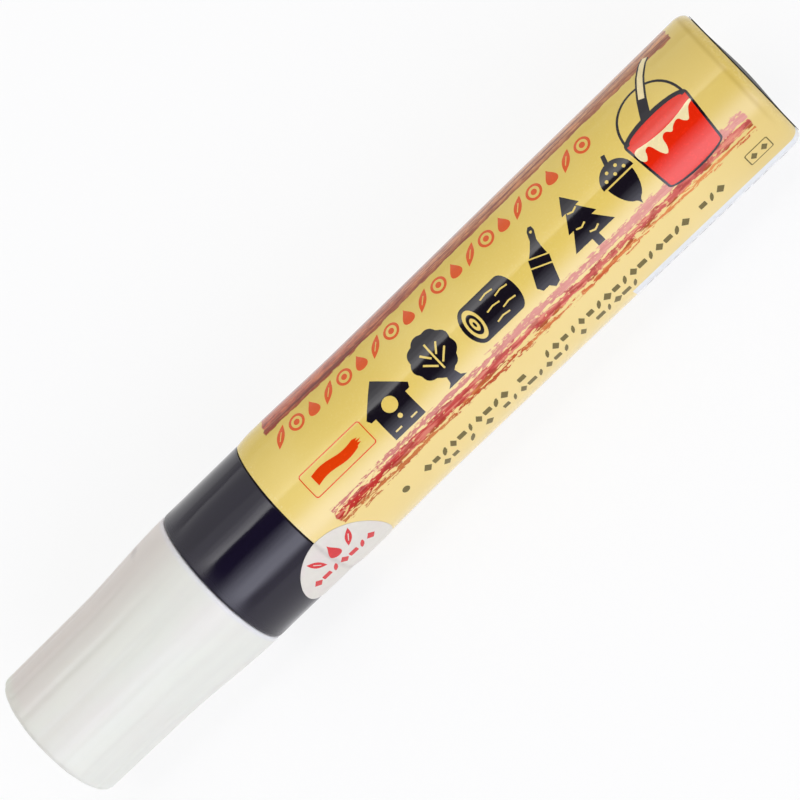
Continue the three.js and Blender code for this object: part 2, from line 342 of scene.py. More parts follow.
def closed(shape, mesh):
    """Points a bmesh's faces outwards and moves it into a mesh."""
    bmesh.ops.recalc_face_normals(shape, faces=shape.faces)
    shape.to_mesh(mesh)
    shape.free()
    return mesh


def shaded(mesh):
    """Shades a mesh smooth between its sharp edges."""
    mesh.shade_smooth()
    mesh.set_sharp_from_angle(angle=SHARP)
    return mesh


def turned(name, outline, sides=SIDES):
    """A closed mesh made by turning an outline of (station, radius) points about the axis."""
    vertices = []
    rings = []
    for station, radius in outline:
        count = sides if radius > 0 else 1
        ring = range(len(vertices), len(vertices) + count)
        vertices += [spot(station, radius, math.tau * index / sides) for index in range(count)]
        rings.append([ring[index % count] for index in range(sides)])
    faces = []
    for near, far in zip(rings, rings[1:] + rings[:1]):
        for index in range(sides):
            after = (index + 1) % sides
            corners = dict.fromkeys((near[index], far[index], far[after], near[after]))
            if len(corners) > 2:
                faces.append(list(corners))
    mesh = bpy.data.meshes.new(name)
    mesh.from_pydata(vertices, [], faces)
    shape = bmesh.new()
    shape.from_mesh(mesh)
    return shaded(closed(shape, mesh))


print("turned meshes have", SIDES, "sides")


# %% Pieces
def show(name, mesh, finish):
    """Puts a mesh in the scene with its finish."""
    if finish.name not in mesh.materials:
        mesh.materials.clear()
        mesh.materials.append(finish)
    return placed(name, mesh)


def turned_piece(name, finish, corners, sides=SIDES):
    """A piece turned from (station, radius, round) corners."""
    return show(name, turned(name, rounded(corners), sides), finish)


def fit(piece, body, slot, *nodes):
    """Rides a finished piece on its body, in place of the frame nodes that it stands for."""
    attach(piece, body)
    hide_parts(*nodes)
    print(f"{piece.name}: {len(piece.data.polygons)} faces, rides on {body}")
    return piece


print("pieces will stand for", len(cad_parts), "nodes")

# %% [markdown]
# ## Finishes
# Every finish is one Principled shader whose colour, roughness and bump come from noise on Object
# coordinates, which are metres in the frame. A Mapping node turns them into millimetres, and a share below
# 1 along X draws the noise out into streaks along the marker, as moulding and printing leave them. Some
# finishes also follow the place on the marker: the station, and the angle round the axis.


# %% Helpers for finishes
def new_finish(name, **constants):
    """A material and its tree, with the constants set straight on the shader's sockets."""
    material = bpy.data.materials.new(name)
    material.use_nodes = True
    tree = material.node_tree
    for key, value in constants.items():
        tree.nodes["Principled BSDF"].inputs[key.replace("_", " ")].default_value = value
    return material, tree


def noise(tree, scale, draw=1.0, detail=2.0, shift=0.0, warp=0.0):
    """Noise with about scale features to a millimetre, drawn out along the marker by a share below 1."""
    where = add(tree, "ShaderNodeTexCoord", output="Object")
    where = add(tree, "ShaderNodeMapping", {"Vector": where, "Location": (shift, shift, shift),
                                            "Scale": (draw / MM, 1 / MM, 1 / MM)})
    return add(tree, "ShaderNodeTexNoise", {"Vector": where, "Scale": scale, "Detail": detail,
                                            "Distortion": warp})


def marker_places(tree):
    """Station in mm and degrees below the camera-facing line, for every point of a piece."""
    where = add(tree, "ShaderNodeTexCoord", output="Object")
    east = add(tree, "ShaderNodeSeparateXYZ", {"Vector": where}, output="X")
    angle = (east.out("Z") - AXIS_Z).math("ARCTAN2", east.out("Y") * -1)
    return (TAIL_X - east) / MM, (FACING - angle) * (180 / math.pi)


def blend(tree, colour, *layers):
    """A colour with (share, colour) layers mixed over it, one after another."""
    for share, over in layers:
        colour = add(tree, "ShaderNodeMix", {0: share, 6: colour, 7: over}, output=2, data_type="RGBA")
    return colour


def dress(material, colour, roughness, height=None, depth=1.0):
    """Gives a finish its colour and roughness, and a bump of a depth in millimetres."""
    tree = material.node_tree
    sockets = tree.nodes["Principled BSDF"].inputs
    plug(tree, colour, sockets["Base Color"])
    plug(tree, roughness, sockets["Roughness"])
    if height is not None:
        bump = add(tree, "ShaderNodeBump", {"Height": height, "Strength": 1.0, "Distance": depth * MM})
        plug(tree, bump, sockets["Normal"])
    print(f"{material.name}: a finish of {len(tree.nodes)} nodes")
    return material


print("angles are counted from", round(math.degrees(FACING), 1), "degrees above the front horizon")


# %% Plain plastics
def plain_plastic(name, dark, light, roughness, spread=0.08, skin=0.004, sink=0.0, shine=0.5):
    """Moulded plastic: a faint flow of tone along it, uneven gloss, a fine skin and slow sink marks."""
    material, tree = new_finish(name, Specular_IOR_Level=shine)
    flow = noise(tree, 0.5, draw=0.12, detail=3.0)
    fine = noise(tree, 6.0, detail=1.0, shift=7.0)
    slow = noise(tree, 0.16, draw=0.5, detail=1.0, shift=2.0)
    tone = blend(tree, tint(*dark), (flow, tint(*light)))
    return dress(material, tone, flow * spread + (roughness - spread / 2), fine * skin + slow * sink)


dark_plastic = plain_plastic("dark_plastic", (15, 10, 26), (23, 17, 38), 0.1, spread=0.05, sink=0.1)
tail_plastic = plain_plastic("tail_plastic", (32, 28, 29), (47, 42, 42), 0.5, skin=0.006, shine=0.25)
barrel_plastic = plain_plastic("barrel_plastic", (226, 223, 214), (236, 234, 228), 0.48)
valve_plastic = plain_plastic("valve_plastic", (218, 215, 205), (228, 226, 218), 0.42)
stem_plastic = plain_plastic("stem_plastic", (196, 201, 208), (210, 214, 219), 0.36)
liner_plastic = plain_plastic("liner_plastic", (226, 224, 215), (236, 234, 227), 0.42)
seal_rubber = plain_plastic("seal_rubber", (66, 66, 66), (84, 84, 84), 0.82, skin=0.012)

# %% [markdown]
# ## Collar, nose and tail plug
# One dark moulding screws the front together: the collar that shows, the land that the cap snaps over, and
# the nose that holds the nib. The cap rubs the collar's front end, so its gloss is hazed there. The tail is
# closed by a flanged cup of a matter plastic, which stays dark even seen edge on. Its end is a low dome
# with a gate mark in the middle and a fine groove round it. Both are turned outlines. Each corner is given
# as a station, a radius and a round of a few tenths of a millimetre, as a mould gives it.

# %% Front holder
COLLAR_LENGTH = 16.8
COLLAR_WALL = 2.2
LAND_INSET = 1.55
LAND_LENGTH = 7.5
LAND_EDGE = 0.4
SNAP_RISE = 0.12
SNAP_WIDTH = 1.2
NOSE_RADIUS = 8.2
NOSE_FLARE = 1.9
NOSE_CONE = 4.0
NOSE_CHAMFER = 1.2
NIB_BORE = 5.25
HOLDER_FLOOR = 4.1
RUB_REACH = 4.5
RUB_HAZE = 0.2

collar_front = FILM_FRONT + COLLAR_LENGTH
skirt_bore = COLLAR_RADIUS - COLLAR_WALL
land = COLLAR_RADIUS - LAND_INSET
land_end = collar_front + LAND_LENGTH
snap = collar_front + LAND_LENGTH / 2
nose_base = land_end + LAND_EDGE
holder_inner = collar_front - HOLDER_FLOOR
tree = dark_plastic.node_tree
station, below = marker_places(tree)
gloss = tree.nodes["Principled BSDF"].inputs["Roughness"]
haze = ease(station, collar_front - RUB_REACH, collar_front) * RUB_HAZE
plug(tree, Wire(tree, gloss.links[0].from_socket) + haze, gloss)
front_holder = turned_piece("collar_and_nose", dark_plastic, [
    (COLLAR_REAR, skirt_bore, 0.2),
    (COLLAR_REAR, COLLAR_RADIUS, 0.35),
    (collar_front, COLLAR_RADIUS, 0.4),
    (collar_front, land, 0.15),
    (snap - SNAP_WIDTH, land, 0.4),
    (snap - SNAP_WIDTH / 2, land + SNAP_RISE, 0.5),
    (snap + SNAP_WIDTH / 2, land + SNAP_RISE, 0.5),
    (snap + SNAP_WIDTH, land, 0.4),
    (land_end, land, 0.3),
    (nose_base, land - LAND_EDGE, 0.2),
    (nose_base, NOSE_RADIUS + NOSE_FLARE, 0.5),
    (nose_base + NOSE_CONE, NOSE_RADIUS, 3.0),
    (NOSE_END - NOSE_CHAMFER, NOSE_RADIUS, 0.8),
    (NOSE_END, NOSE_RADIUS - NOSE_CHAMFER, 0.4),
    (NOSE_END, NIB_BORE, 0.3),
    (holder_inner, NIB_BORE, 0.2),
    (holder_inner, skirt_bore, 0.2),
])
fit(front_holder, "pen", "dark_plastic", "front_holder")

# %% Tail plug
FLANGE = 0.5
FLANGE_TRIM = 0.22
PLUG_BODY = 11.67
PLUG_WALL = 1.3
PLUG_FLOOR = 1.4
PLUG_DOME = 10.4
PLUG_DROP = 0.43
DOME_STEPS = 14
GROOVE_PLACE = 10.7
GROOVE = 0.18
GATE_RADIUS = 0.9
GATE_RISE = 0.14

plug_rear, plug_mouth, flange_radius = span("tail_plug")
plug_edge = flange_radius - FLANGE_TRIM
plug_lip = plug_rear + PLUG_DROP


def dome(step):
    """One point of the plug's low dome, from the gate mark in its middle to the lip."""
    radius = GATE_RADIUS + step / DOME_STEPS * (PLUG_DOME - GATE_RADIUS)
    return plug_rear + PLUG_DROP * (1 - math.cos(math.pi * radius / PLUG_DOME)) / 2, radius, 0


tail_plug = turned_piece("tail_plug_cup", tail_plastic, [
    (plug_rear + GATE_RISE, 0, 0),
    (plug_rear + GATE_RISE, GATE_RADIUS - GATE_RISE, 0.08),
    *[dome(step) for step in range(DOME_STEPS + 1)],
    (plug_lip, GROOVE_PLACE - GROOVE, 0.05),
    (plug_lip + GROOVE, GROOVE_PLACE, 0.05),
    (plug_lip, GROOVE_PLACE + GROOVE, 0.05),
    (plug_lip, plug_edge, 0),
    (plug_rear + FLANGE, plug_edge, 0),
    (plug_rear + FLANGE, PLUG_BODY, 0.08),
    (plug_mouth, PLUG_BODY, 0.6),
    (plug_mouth, PLUG_BODY - PLUG_WALL, 0.2),
    (PLUG_FLOOR, PLUG_BODY - PLUG_WALL, 0.4),
    (PLUG_FLOOR, 0, 0),
])
fit(tail_plug, "pen", "dark_plastic", "tail_plug")

# %% [markdown]
# ## Running a node tree
# A Geometry Nodes tree is a recipe with named inputs. The first two helpers below give a tree its inputs
# and its last nodes. The others run trees on a start mesh, take the result as a plain mesh and take the
# modifiers off again, because the finished piece has to carry its own shape.


# %% Helpers for Geometry Nodes
def new_tree(name, **kinds):
    """A tree with a Geometry input and output, a Finish and the inputs named under each kind."""
    tree = bpy.data.node_groups.new(name, "GeometryNodeTree")
    tree.interface.new_socket("Geometry", in_out="OUTPUT", socket_type="NodeSocketGeometry")
    for kind, keys in {"Geometry": "Geometry", **kinds, "Material": "Finish"}.items():
        for key in keys.split():
            key = key.replace("_", " ")
            tree.interface.new_socket(key, in_out="INPUT", socket_type="NodeSocket" + kind)
    source = tree.nodes.new("NodeGroupInput")
    return tree, lambda key: Wire(tree, source.outputs[key])


def end_tree(tree, given, geometry):
    """Ends a tree in Realize Instances and Set Material."""
    whole = add(tree, "GeometryNodeRealizeInstances", {"Geometry": geometry})
    dressed = add(tree, "GeometryNodeSetMaterial", {"Geometry": whole, "Material": given("Finish")})
    plug(tree, dressed, tree.nodes.new("NodeGroupOutput").inputs[0])
    print(f"{tree.name}: a recipe of {len(tree.nodes)} nodes")


def plain_mesh(worker):
    """The mesh that an object's modifiers make. The object and its modifiers are removed."""
    bpy.context.view_layer.update()
    graph = bpy.context.evaluated_depsgraph_get()
    mesh = bpy.data.meshes.new_from_object(worker.evaluated_get(graph), depsgraph=graph)
    worker.modifiers.clear()
    bpy.data.objects.remove(worker)
    return mesh


def grown(name, start, finish, *recipes):
    """A piece made by running (tree, inputs) recipes one after another on a start mesh."""
    worker = placed(name, start)
    for tree, inputs in recipes:
        values = {**inputs, "Finish": finish}
        modifier = worker.modifiers.new(tree.name, "NODES")
        modifier.node_group = tree
        for item in tree.interface.items_tree:
            if item.in_out == "INPUT" and item.name in values:
                modifier[item.identifier] = values[item.name]
    mesh = plain_mesh(worker)
    mesh.name = name
    return show(name, shaded(mesh), finish)


print("trees end in Realize Instances and Set Material")

# %% [markdown]
# ## The cap
# The cap is off-white polyethylene, a little see-through. It flares to the collar's width at its mouth,
# its closed end is dished round a gate mark, and soft flutes run from that end and fade out in the flare.
# The shell is turned first, and a node tree then sinks the flutes by a rule: a repeating wave round the
# axis, raised to a power so that the grooves are narrow, times a fade along the cap. A boolean cut would
# leave hard ends instead. Its upper side is tinted pinker as painted shade, a band by the mouth is tinted
# lilac as a painted reflection of the collar, and it has one dark scuff.

# %% Cap finish
UPPER_SHADE_FROM = (-114, -84)
UPPER_SHADE_TO = (-62, -12)
UPPER_SHADE_STOP = (3, 1)
SCUFF_STATION = 122.6
SCUFF_ANGLE = -76
SCUFF_LEAN = 0.02
SCUFF_SCALE = (0.8, 0.055)
MOUTH_REFLECTION_BAND = (0.2, 1.2)
END_RUB = 1.6

cap_plastic, tree = new_finish("cap_plastic", Subsurface_Weight=0.12, Subsurface_Scale=0.6 * MM,
                               Subsurface_Radius=(1.0, 0.85, 0.75))
flow = noise(tree, 0.45, draw=0.04)
cloud = noise(tree, 0.09, draw=0.6, shift=3.0)
ragged = noise(tree, 1.6, draw=0.6, detail=3.0, shift=1.0)
station, below = marker_places(tree)
# Painted shade: the upper side of the cap is tinted pinker, fading out near the closed end.
painted_upper_shade = ease(below, *UPPER_SHADE_FROM) * (1 - ease(below, *UPPER_SHADE_TO))
painted_upper_shade = painted_upper_shade * (1 - ease(station, *[CAP_END - reach for reach in UPPER_SHADE_STOP]))
# Painted reflection: a lilac tint just behind the mouth stands for the dark collar mirrored in the rim.
painted_mouth_reflection = 1 - ease(station, *[CAP_MOUTH + reach for reach in MOUTH_REFLECTION_BAND])
rubbed = ease(station + (cloud - 0.5) * 4, CAP_END - END_RUB, CAP_END) * ease(flow, 0.45, 0.65)
downwards = below - SCUFF_ANGLE
across = station - SCUFF_STATION - downwards * SCUFF_LEAN
scuff = add(tree, "ShaderNodeCombineXYZ", {"X": across * SCUFF_SCALE[0], "Y": downwards * SCUFF_SCALE[1]})
scuff = add(tree, "ShaderNodeVectorMath", {0: scuff}, output="Value", operation="LENGTH")
tone = blend(
    tree, tint(220, 220, 209),
    (ease(flow, 0.3, 0.7), tint(224, 225, 213)),
    (ease(cloud, 0.45, 0.75) * 0.35, tint(222, 214, 207)),
    (painted_upper_shade * 0.8, tint(219, 209, 203)),
    (painted_mouth_reflection * 0.35, tint(214, 214, 230)),
    (rubbed * 0.2, tint(196, 192, 184)),
    ((1 - ease(scuff + (ragged - 0.5) * 1.2, 0.1, 0.9)) * 0.35, tint(150, 140, 138)),
)
dress(cap_plastic, tone, flow * 0.1 + 0.32, noise(tree, 2.5, draw=0.4, shift=5.0), 0.005)

# %% Cap outline
CAP_MAIN = 12.4
CAP_TIP = 12.25
CAP_TIP_ROUND = 1.0
CAP_BORE = 10.95
CAP_END_WALL = 1.8
MOUTH_BORE = 12.06
MOUTH_STEP = 0.25
DISH_RADIUS = 10.2
DISH_DEPTH = 0.5
DISH_SLOPE = 0.5
FLARE_START = 21.0
FLARE_END = 1.0
FLARE_STEPS = 16
SHANK_STEPS = 8

cap_floor = CAP_END - CAP_END_WALL
dish_floor = CAP_END - DISH_DEPTH


def smooth_step(share):
    """A share from 0 to 1 that starts and ends gently."""
    return share * share * (3 - 2 * share)


def flare(step):
    """One point of the smooth flare between the cap's mouth and its main width."""
    share = step / FLARE_STEPS
    station = CAP_MOUTH + FLARE_END + share * (FLARE_START - FLARE_END)
    return station, CAP_MOUTH_RADIUS - (CAP_MOUTH_RADIUS - CAP_MAIN) * smooth_step(share), 0


def shank(step):
    """One point of the slight taper from the flare to the cap's closed end."""
    share = step / SHANK_STEPS
    start = CAP_MOUTH + FLARE_START
    station = start + share * (CAP_END - 2 * CAP_TIP_ROUND - start)
    return station, CAP_MAIN + share * (CAP_TIP - CAP_MAIN), 0


cap_outline = rounded([
    (cap_floor, 0, 0),
    (cap_floor, CAP_BORE, 0.8),
    (land_end + MOUTH_BORE - CAP_BORE + MOUTH_STEP, CAP_BORE, 0.4),
    (land_end + MOUTH_STEP, MOUTH_BORE, 0.4),
    (CAP_MOUTH, MOUTH_BORE, 0.25),
    (CAP_MOUTH, CAP_MOUTH_RADIUS, 0.45),
    *[flare(step) for step in range(FLARE_STEPS + 1)],
    *[shank(step) for step in range(1, SHANK_STEPS + 1)],
    (CAP_END, CAP_TIP, CAP_TIP_ROUND),
    (CAP_END, DISH_RADIUS, 0.25),
    (dish_floor, DISH_RADIUS - DISH_SLOPE, 0.25),
    (dish_floor, GATE_RADIUS + GATE_RISE, 0.08),
    (dish_floor + GATE_RISE, GATE_RADIUS, 0.08),
    (dish_floor + GATE_RISE, 0, 0),
])
print("cap outline has", len(cap_outline), "points")

# %% Flutes
CAP_SIDES = 480
FLUTES = 16
FLUTE_DEPTH = 0.17
FLUTE_POWER = 5
FLUTE_LEAD = math.radians(6.6)
FLUTE_FADE = (4.5, 19.8)
RIM_FADE = 1.2 * MM

tree, given = new_tree("flutes", Float="Count Depth Lead Power Axis_Height Fade_From Fade_To Rim")
place = add(tree, "GeometryNodeInputPosition")
east = add(tree, "ShaderNodeSeparateXYZ", {"Vector": place}, output="X")
north = east.out("Y")
rise = east.out("Z") - given("Axis Height")
radius = (north * north + rise * rise).math("SQRT")
angle = rise.math("ARCTAN2", north * -1)
wave = ((angle - given("Lead")) * given("Count")).math("COSINE") * 0.5 + 0.5
fade = ease(east, given("Fade From"), given("Fade To"))
edge = ease(radius, given("Rim") - RIM_FADE, given("Rim"))
sink = wave.math("POWER", given("Power")) * fade * edge * given("Depth") * -1
inwards = add(tree, "ShaderNodeCombineXYZ", {"Y": north / radius * sink, "Z": rise / radius * sink})
fluted = add(tree, "GeometryNodeSetPosition", {"Geometry": given("Geometry"), "Offset": inwards})
end_tree(tree, given, fluted)
fade_from, fade_to = (TAIL_X - (CAP_MOUTH + reach) * MM for reach in FLUTE_FADE)
cap = grown("cap_with_flutes", turned("cap_start", cap_outline, CAP_SIDES), cap_plastic, (tree, {
    "Count": float(FLUTES), "Depth": FLUTE_DEPTH * MM, "Lead": FACING + FLUTE_LEAD,
    "Power": float(FLUTE_POWER), "Axis Height": AXIS_Z, "Fade From": fade_from, "Fade To": fade_to,
    "Rim": CAP_TIP * MM}))
fit(cap, "cap", "cap_plastic", "cap_shell")

# %% [markdown]
# ## The cup inside the cap
# A second, thinner cup sits inside the cap and slides over the nose, which keeps the nib from drying. Its
# mouth is thinned to a soft lip so that it finds the nose.

# %% Cap liner
LINER_RADIUS = 9.35
LINER_WALL = 0.9
LINER_END_WALL = 1.2

liner_mouth, liner_back, liner_flange = span("cap_liner")
liner_floor = liner_back - LINER_END_WALL
cap_liner = turned_piece("cap_inner_cup", liner_plastic, [
    (liner_floor, 0, 0),
    (liner_floor, LINER_RADIUS - LINER_WALL, 0.6),
    (liner_mouth, LINER_RADIUS - LINER_WALL, 0.5),
    (liner_mouth, LINER_RADIUS, 0.25),
    (liner_floor, LINER_RADIUS, 0.3),
    (liner_floor, liner_flange, 0.2),
    (liner_back, liner_flange, 0.3),
    (liner_back, 0, 0),
])
fit(cap_liner, "cap", "liner_plastic", "cap_liner")

# %% [markdown]
# ## The printed film
# A glossy yellow film is shrunk round the bottle. It rolls over the tail edge, draws in to a slight waist
# and swells to a bead at the front. A formula gives its radius at each station, and the same formula, set
# in by a wall, gives the inside.

# %% Film mesh
FILM_SIDES = 256
FILM_WALL = 0.2
FILM_STEP = 3.0
TAIL_ROUND = 1.4
TAIL_REACH = 2.2
TAIL_STEPS = 8
WAIST_DEPTH = 0.28
WAIST_REACH = 22
BEAD = 3
BEAD_STEPS = 8
FRONT_STEP = 0.24

tail_end = FILM_REAR + TAIL_REACH
waist = FILM_FRONT - WAIST_REACH
crown = FILM_FRONT - BEAD


def film_radius(station):
    """The film's outside radius between its tail corner and its front edge."""
    if station > crown:
        return BODY_RADIUS - FRONT_STEP * ((station - crown) / BEAD) ** 2
    if station > waist:
        return BODY_RADIUS - WAIST_DEPTH * (1 - smooth_step((station - waist) / (crown - waist)))
    return BODY_RADIUS - WAIST_DEPTH * (station - tail_end) / (waist - tail_end)


def film_side(inset):
    """One side of the film's wall, from under the tail plug's flange to the front edge."""
    points = []
    for step in range(TAIL_STEPS + 1):
        turn = math.pi / 2 * step / TAIL_STEPS
        station = tail_end - (TAIL_REACH - inset) * math.cos(turn)
        points.append((station, BODY_RADIUS - TAIL_ROUND + (TAIL_ROUND - inset) * math.sin(turn)))
    plain = int((crown - tail_end) / FILM_STEP)
    stations = [tail_end + FILM_STEP * (step + 1) for step in range(plain)]
    stations += [FILM_FRONT - BEAD * (1 - step / BEAD_STEPS) for step in range(BEAD_STEPS + 1)]
    return points + [(station, film_radius(station) - inset) for station in stations]


film_mesh = turned("printed_film", film_side(0) + film_side(FILM_WALL)[::-1], FILM_SIDES)
print("film wall", FILM_WALL, "mm, waist radius", round(film_radius(waist), 2), "mm")

# %% [markdown]
# ## The bottle
# Under the film is a plain white bottle with a neck, and its bore is the paint's reservoir. It hardly
# shows, but it is turned like the rest so that a cut-open model is right. Its outside is the film's own
# outline, set in by the film's wall and a little air.

# %% Barrel
SKIN = 0.3
BARREL_BORE = 11.82
NECK_RADIUS = 11.01
NECK_BORE = 9.51
SHOULDER_WALL = 1.6

barrel_rear, neck_end, _ = span("barrel_tube")
barrel = turned_piece("bottle", barrel_plastic, [
    (barrel_rear, BARREL_BORE, 0.1),
    *[(station, radius, 0) for station, radius in film_side(SKIN)],
    (FILM_FRONT, NECK_RADIUS, 0.1),
    (neck_end, NECK_RADIUS, 0.3),
    (neck_end, NECK_BORE, 0.2),
    (FILM_FRONT - SHOULDER_WALL, NECK_BORE, 0.5),
    (FILM_FRONT - SHOULDER_WALL, BARREL_BORE, 0.8),
])
fit(barrel, "pen", "barrel_plastic", "barrel_tube")

# %% [markdown]
# ## The print on the film
# The film is yellow, darker towards the tail, with a line of painted shade where it starts to round over
# the tail's edge, a paler lower side and a pale band below the front that are painted reflections of the
# front lamps. A pale panel lies at the back, and the film's seam runs along the hidden side. Two bands of
# wood grain are printed along the film.
# Grain is a common pattern of long ragged streaks, so it is made in the material: noise drawn out along
# the marker, cut into bands by the angle round the axis, with a shorter mottle that breaks up its tone.
# The angle is counted in degrees below the line that faces the camera. The print is worn towards its front
# end, and the yellow is rubbed paler at both ends of the film.

# %% Film ground
PANEL_ENDS = (-2.0, 36.2)
PANEL_ANGLES = (68, 158)
SEAM = (176, 180)
CREASE_SHADE_BAND = (1.9, 2.5)
CREASE_SHADE_FADE = (10, 50)
LOWER_PAINTED_REFLECTION = (-6, 22)
TAIL_SHADE = (4, 22)
PAINTED_HIGHLIGHT_BAND = (9, 25)


def between(value, ends, soft):
    """1 between two ends and 0 outside them, with soft edges."""
    low, high = ends
    return ease(value, low - soft, low + soft) * (1 - ease(value, high - soft, high + soft))


label_film, tree = new_finish("label_film", Specular_IOR_Level=0.3)
station, below = marker_places(tree)
patches = noise(tree, 0.05)
dots = noise(tree, 3.0, shift=2.0)
# Painted shade: a dark line where the film starts to round over the tail's edge, fading towards the lower
# side.
painted_crease_shade = between(station + (patches - 0.5) * 0.8, CREASE_SHADE_BAND, 0.4) * (1 - ease(below, *CREASE_SHADE_FADE))
ground = blend(
    tree, tint(226, 198, 100),
    (ease(patches, 0.35, 0.65), tint(231, 205, 116)),
    # Painted reflection: the lower side of the film is blended towards a pale cream.
    (ease(below, *LOWER_PAINTED_REFLECTION) * 0.55, tint(236, 214, 158)),
    (ease(dots, 0.5, 0.8) * 0.25, tint(236, 215, 140)),
    ((1 - ease(station, *TAIL_SHADE)) * 0.5, tint(214, 187, 106)),
    # Painted highlight: a pale cream band from 9 to 25 degrees below the camera-facing line.
    (between(below, PAINTED_HIGHLIGHT_BAND, 5) * 0.1, tint(246, 232, 196)),
    (painted_crease_shade * 0.4, tint(176, 142, 52)),
    (between(station, PANEL_ENDS, 0.1) * between(below, PANEL_ANGLES, 0.4), tint(222, 224, 224)),
    (between(below, SEAM, 0.3) * 0.3, tint(196, 160, 74)),
)
print("film ground:", len(tree.nodes), "nodes")

# %% Wood grain on the film
GRAIN_ENDS = (4.8, 93.4)
WORN = (30, 94)
TOP_GRAIN = (-101, -59)
TOP_EDGE = (-65, -60)

long_grain = noise(tree, 0.75, draw=0.09, detail=4.0)
fine_grain = noise(tree, 2.0, draw=0.1, detail=4.0, shift=4.0)
board = noise(tree, 0.9, draw=0.018, detail=3.0, shift=11.0, warp=0.5)
pores = noise(tree, 2.6, draw=0.05, shift=5.0)
flecks = noise(tree, 2.6, draw=0.3, detail=3.0, shift=8.0)
mottle = noise(tree, 1.1, draw=0.35, detail=3.0, shift=14.0)
long_wave = long_grain - 0.5
fine_wave = fine_grain - 0.5
fleck_wave = flecks - 0.5
mottle_wave = mottle - 0.5
worn = ease(station, *WORN)
edge = long_wave * 4 + mottle_wave * 6 - worn * 3.5
brown = blend(
    tree, tint(116, 38, 20),
    (ease(board * 0.6 + pores * 0.4, 0.36, 0.6), tint(220, 156, 100)),
    (worn * 0.75 * ease(board, 0.3, 0.5), tint(190, 58, 20)),
    (ease(mottle, 0.5, 0.62) * (0.3 + worn * 0.3), tint(118, 30, 6)),
    ((1 - ease(mottle, 0.36, 0.46)) * (0.45 - worn * 0.15), tint(226, 140, 84)),
    (ease(flecks + (pores - 0.5) * 0.6, 0.5, 0.64) * 0.4, tint(128, 34, 10)),
    (ease(below + edge, *TOP_EDGE) * 0.45, tint(120, 30, 8)),
)
rose = blend(tree, tint(186, 84, 76), (fine_grain, tint(232, 172, 154)), (worn * 0.6, tint(176, 72, 54)))
crimson = blend(
    tree, tint(200, 92, 84),
    (worn, tint(184, 34, 26)),
    (ease(fine_grain, 0.46, 0.64) * (1 - worn * 0.4), tint(222, 140, 116)),
    (ease(mottle, 0.5, 0.6) * 0.45, tint(140, 24, 16)),
)
umber = blend(tree, tint(128, 44, 18), (fine_grain, tint(196, 104, 52)))
rust = blend(tree, tint(188, 70, 32), (ease(long_grain, 0.4, 0.6), tint(222, 140, 78)),
             (worn * 0.6, tint(160, 74, 26)))
print("wood grain:", len(tree.nodes), "nodes")

# %% Printed film
FRONT_RUB = 1.2
TAIL_RUB = (0.6, 2.4)
STREAK_SOFT = 0.35

torn = (long_wave * 6 + fine_wave * 6 + fleck_wave * 8) * (1 - worn * 0.3)
inked = between(station + long_wave * 1.2, GRAIN_ENDS, 0.12)
whole = 1 - ease(flecks, 0.6, 0.68) * 0.8
layers = [(inked * between(below + edge, TOP_GRAIN, 0.4), brown)]
for middle, reach, ragged, layer in (
    (19.4, 2.9 - worn * 1.9, fine_wave * 9 + fleck_wave * 8, rose),
    (25.8, 2.7 + worn * 0.6, torn + mottle_wave * 6, crimson),
    (29.2, 0.1, fine_wave * 5 + mottle_wave * 8, umber),
    (31.6, 1.3, fine_wave * 10 + fleck_wave * 10, rust),
):
    inside = reach - (below - middle).math("ABSOLUTE") + ragged
    layers.append((inked * ease(inside, -STREAK_SOFT, STREAK_SOFT) * whole, layer))
ends = ease(station + (dots - 0.5) * 2, FILM_FRONT - FRONT_RUB, FILM_FRONT) + 1 - ease(station, *TAIL_RUB)
layers.append((ends * ease(dots, 0.45, 0.75) * 0.4, tint(240, 222, 164)))
waves = noise(tree, 0.8, draw=0.5, shift=9.0)
dress(label_film, blend(tree, ground, *layers), patches * 0.08 + 0.07, waves, 0.006)
film = show("printed_film", film_mesh, label_film)
fit(film, "pen", "label_film", "label_sleeve")

# %% [markdown]
# ## Ink that follows the film
# The pictures on the film are thin layers of ink. Each is drawn flat, in millimetres along the film and
# round it, as loops that are filled between an outside and its holes. The flat sheet is cut into narrow
# strips so that it can bend. A node tree then wraps it: for every point it shoots a ray at the axis, and
# moves the point to where the ray meets the film, plus its own small height. So the ink follows the waist
# as well as the round of the bottle.

# %% Flat sheets
INK_FOOT = 0.01
INK_TOP = 0.012
STRIP = 0.35
SLIVER = 0.0005
CUT_SNAP = 1e-8


def flat_sheet(name, shapes, top, rungs=False):
    """A flat closed sheet from just under the film to top, in mm, cut into strips for bending."""
    shape = bmesh.new()
    for loops in shapes:
        outline = [[Vector((x * MM, y * MM, 0)) for x, y in loop] for loop in loops]
        points = [point for loop in outline for point in loop]
        lower = [shape.verts.new(point - Vector((0, 0, INK_FOOT * MM))) for point in points]
        upper = [shape.verts.new(point + Vector((0, 0, top * MM))) for point in points]
        for corners in tessellate_polygon(outline):
            for side in (lower, upper):
                shape.faces.new([side[index] for index in corners])
        start = 0
        for loop in outline:
            for index in range(len(loop)):
                here = start + index
                after = start + (index + 1) % len(loop)
                shape.faces.new((lower[here], lower[after], upper[after], upper[here]))
            start += len(loop)
    for axis in (0, 1) if rungs else (1,):
        low = min(vertex.co[axis] for vertex in shape.verts)
        high = max(vertex.co[axis] for vertex in shape.verts)
        square = Vector((1 - axis, axis, 0))
        for step in range(1, math.ceil((high - low) / (STRIP * MM))):
            everything = [*shape.verts, *shape.edges, *shape.faces]
            bmesh.ops.bisect_plane(shape, geom=everything, dist=CUT_SNAP, plane_no=square,
                                   plane_co=square * (low + step * STRIP * MM))
    bmesh.ops.dissolve_degenerate(shape, edges=shape.edges, dist=SLIVER * MM)
    return closed(shape, bpy.data.meshes.new(name))


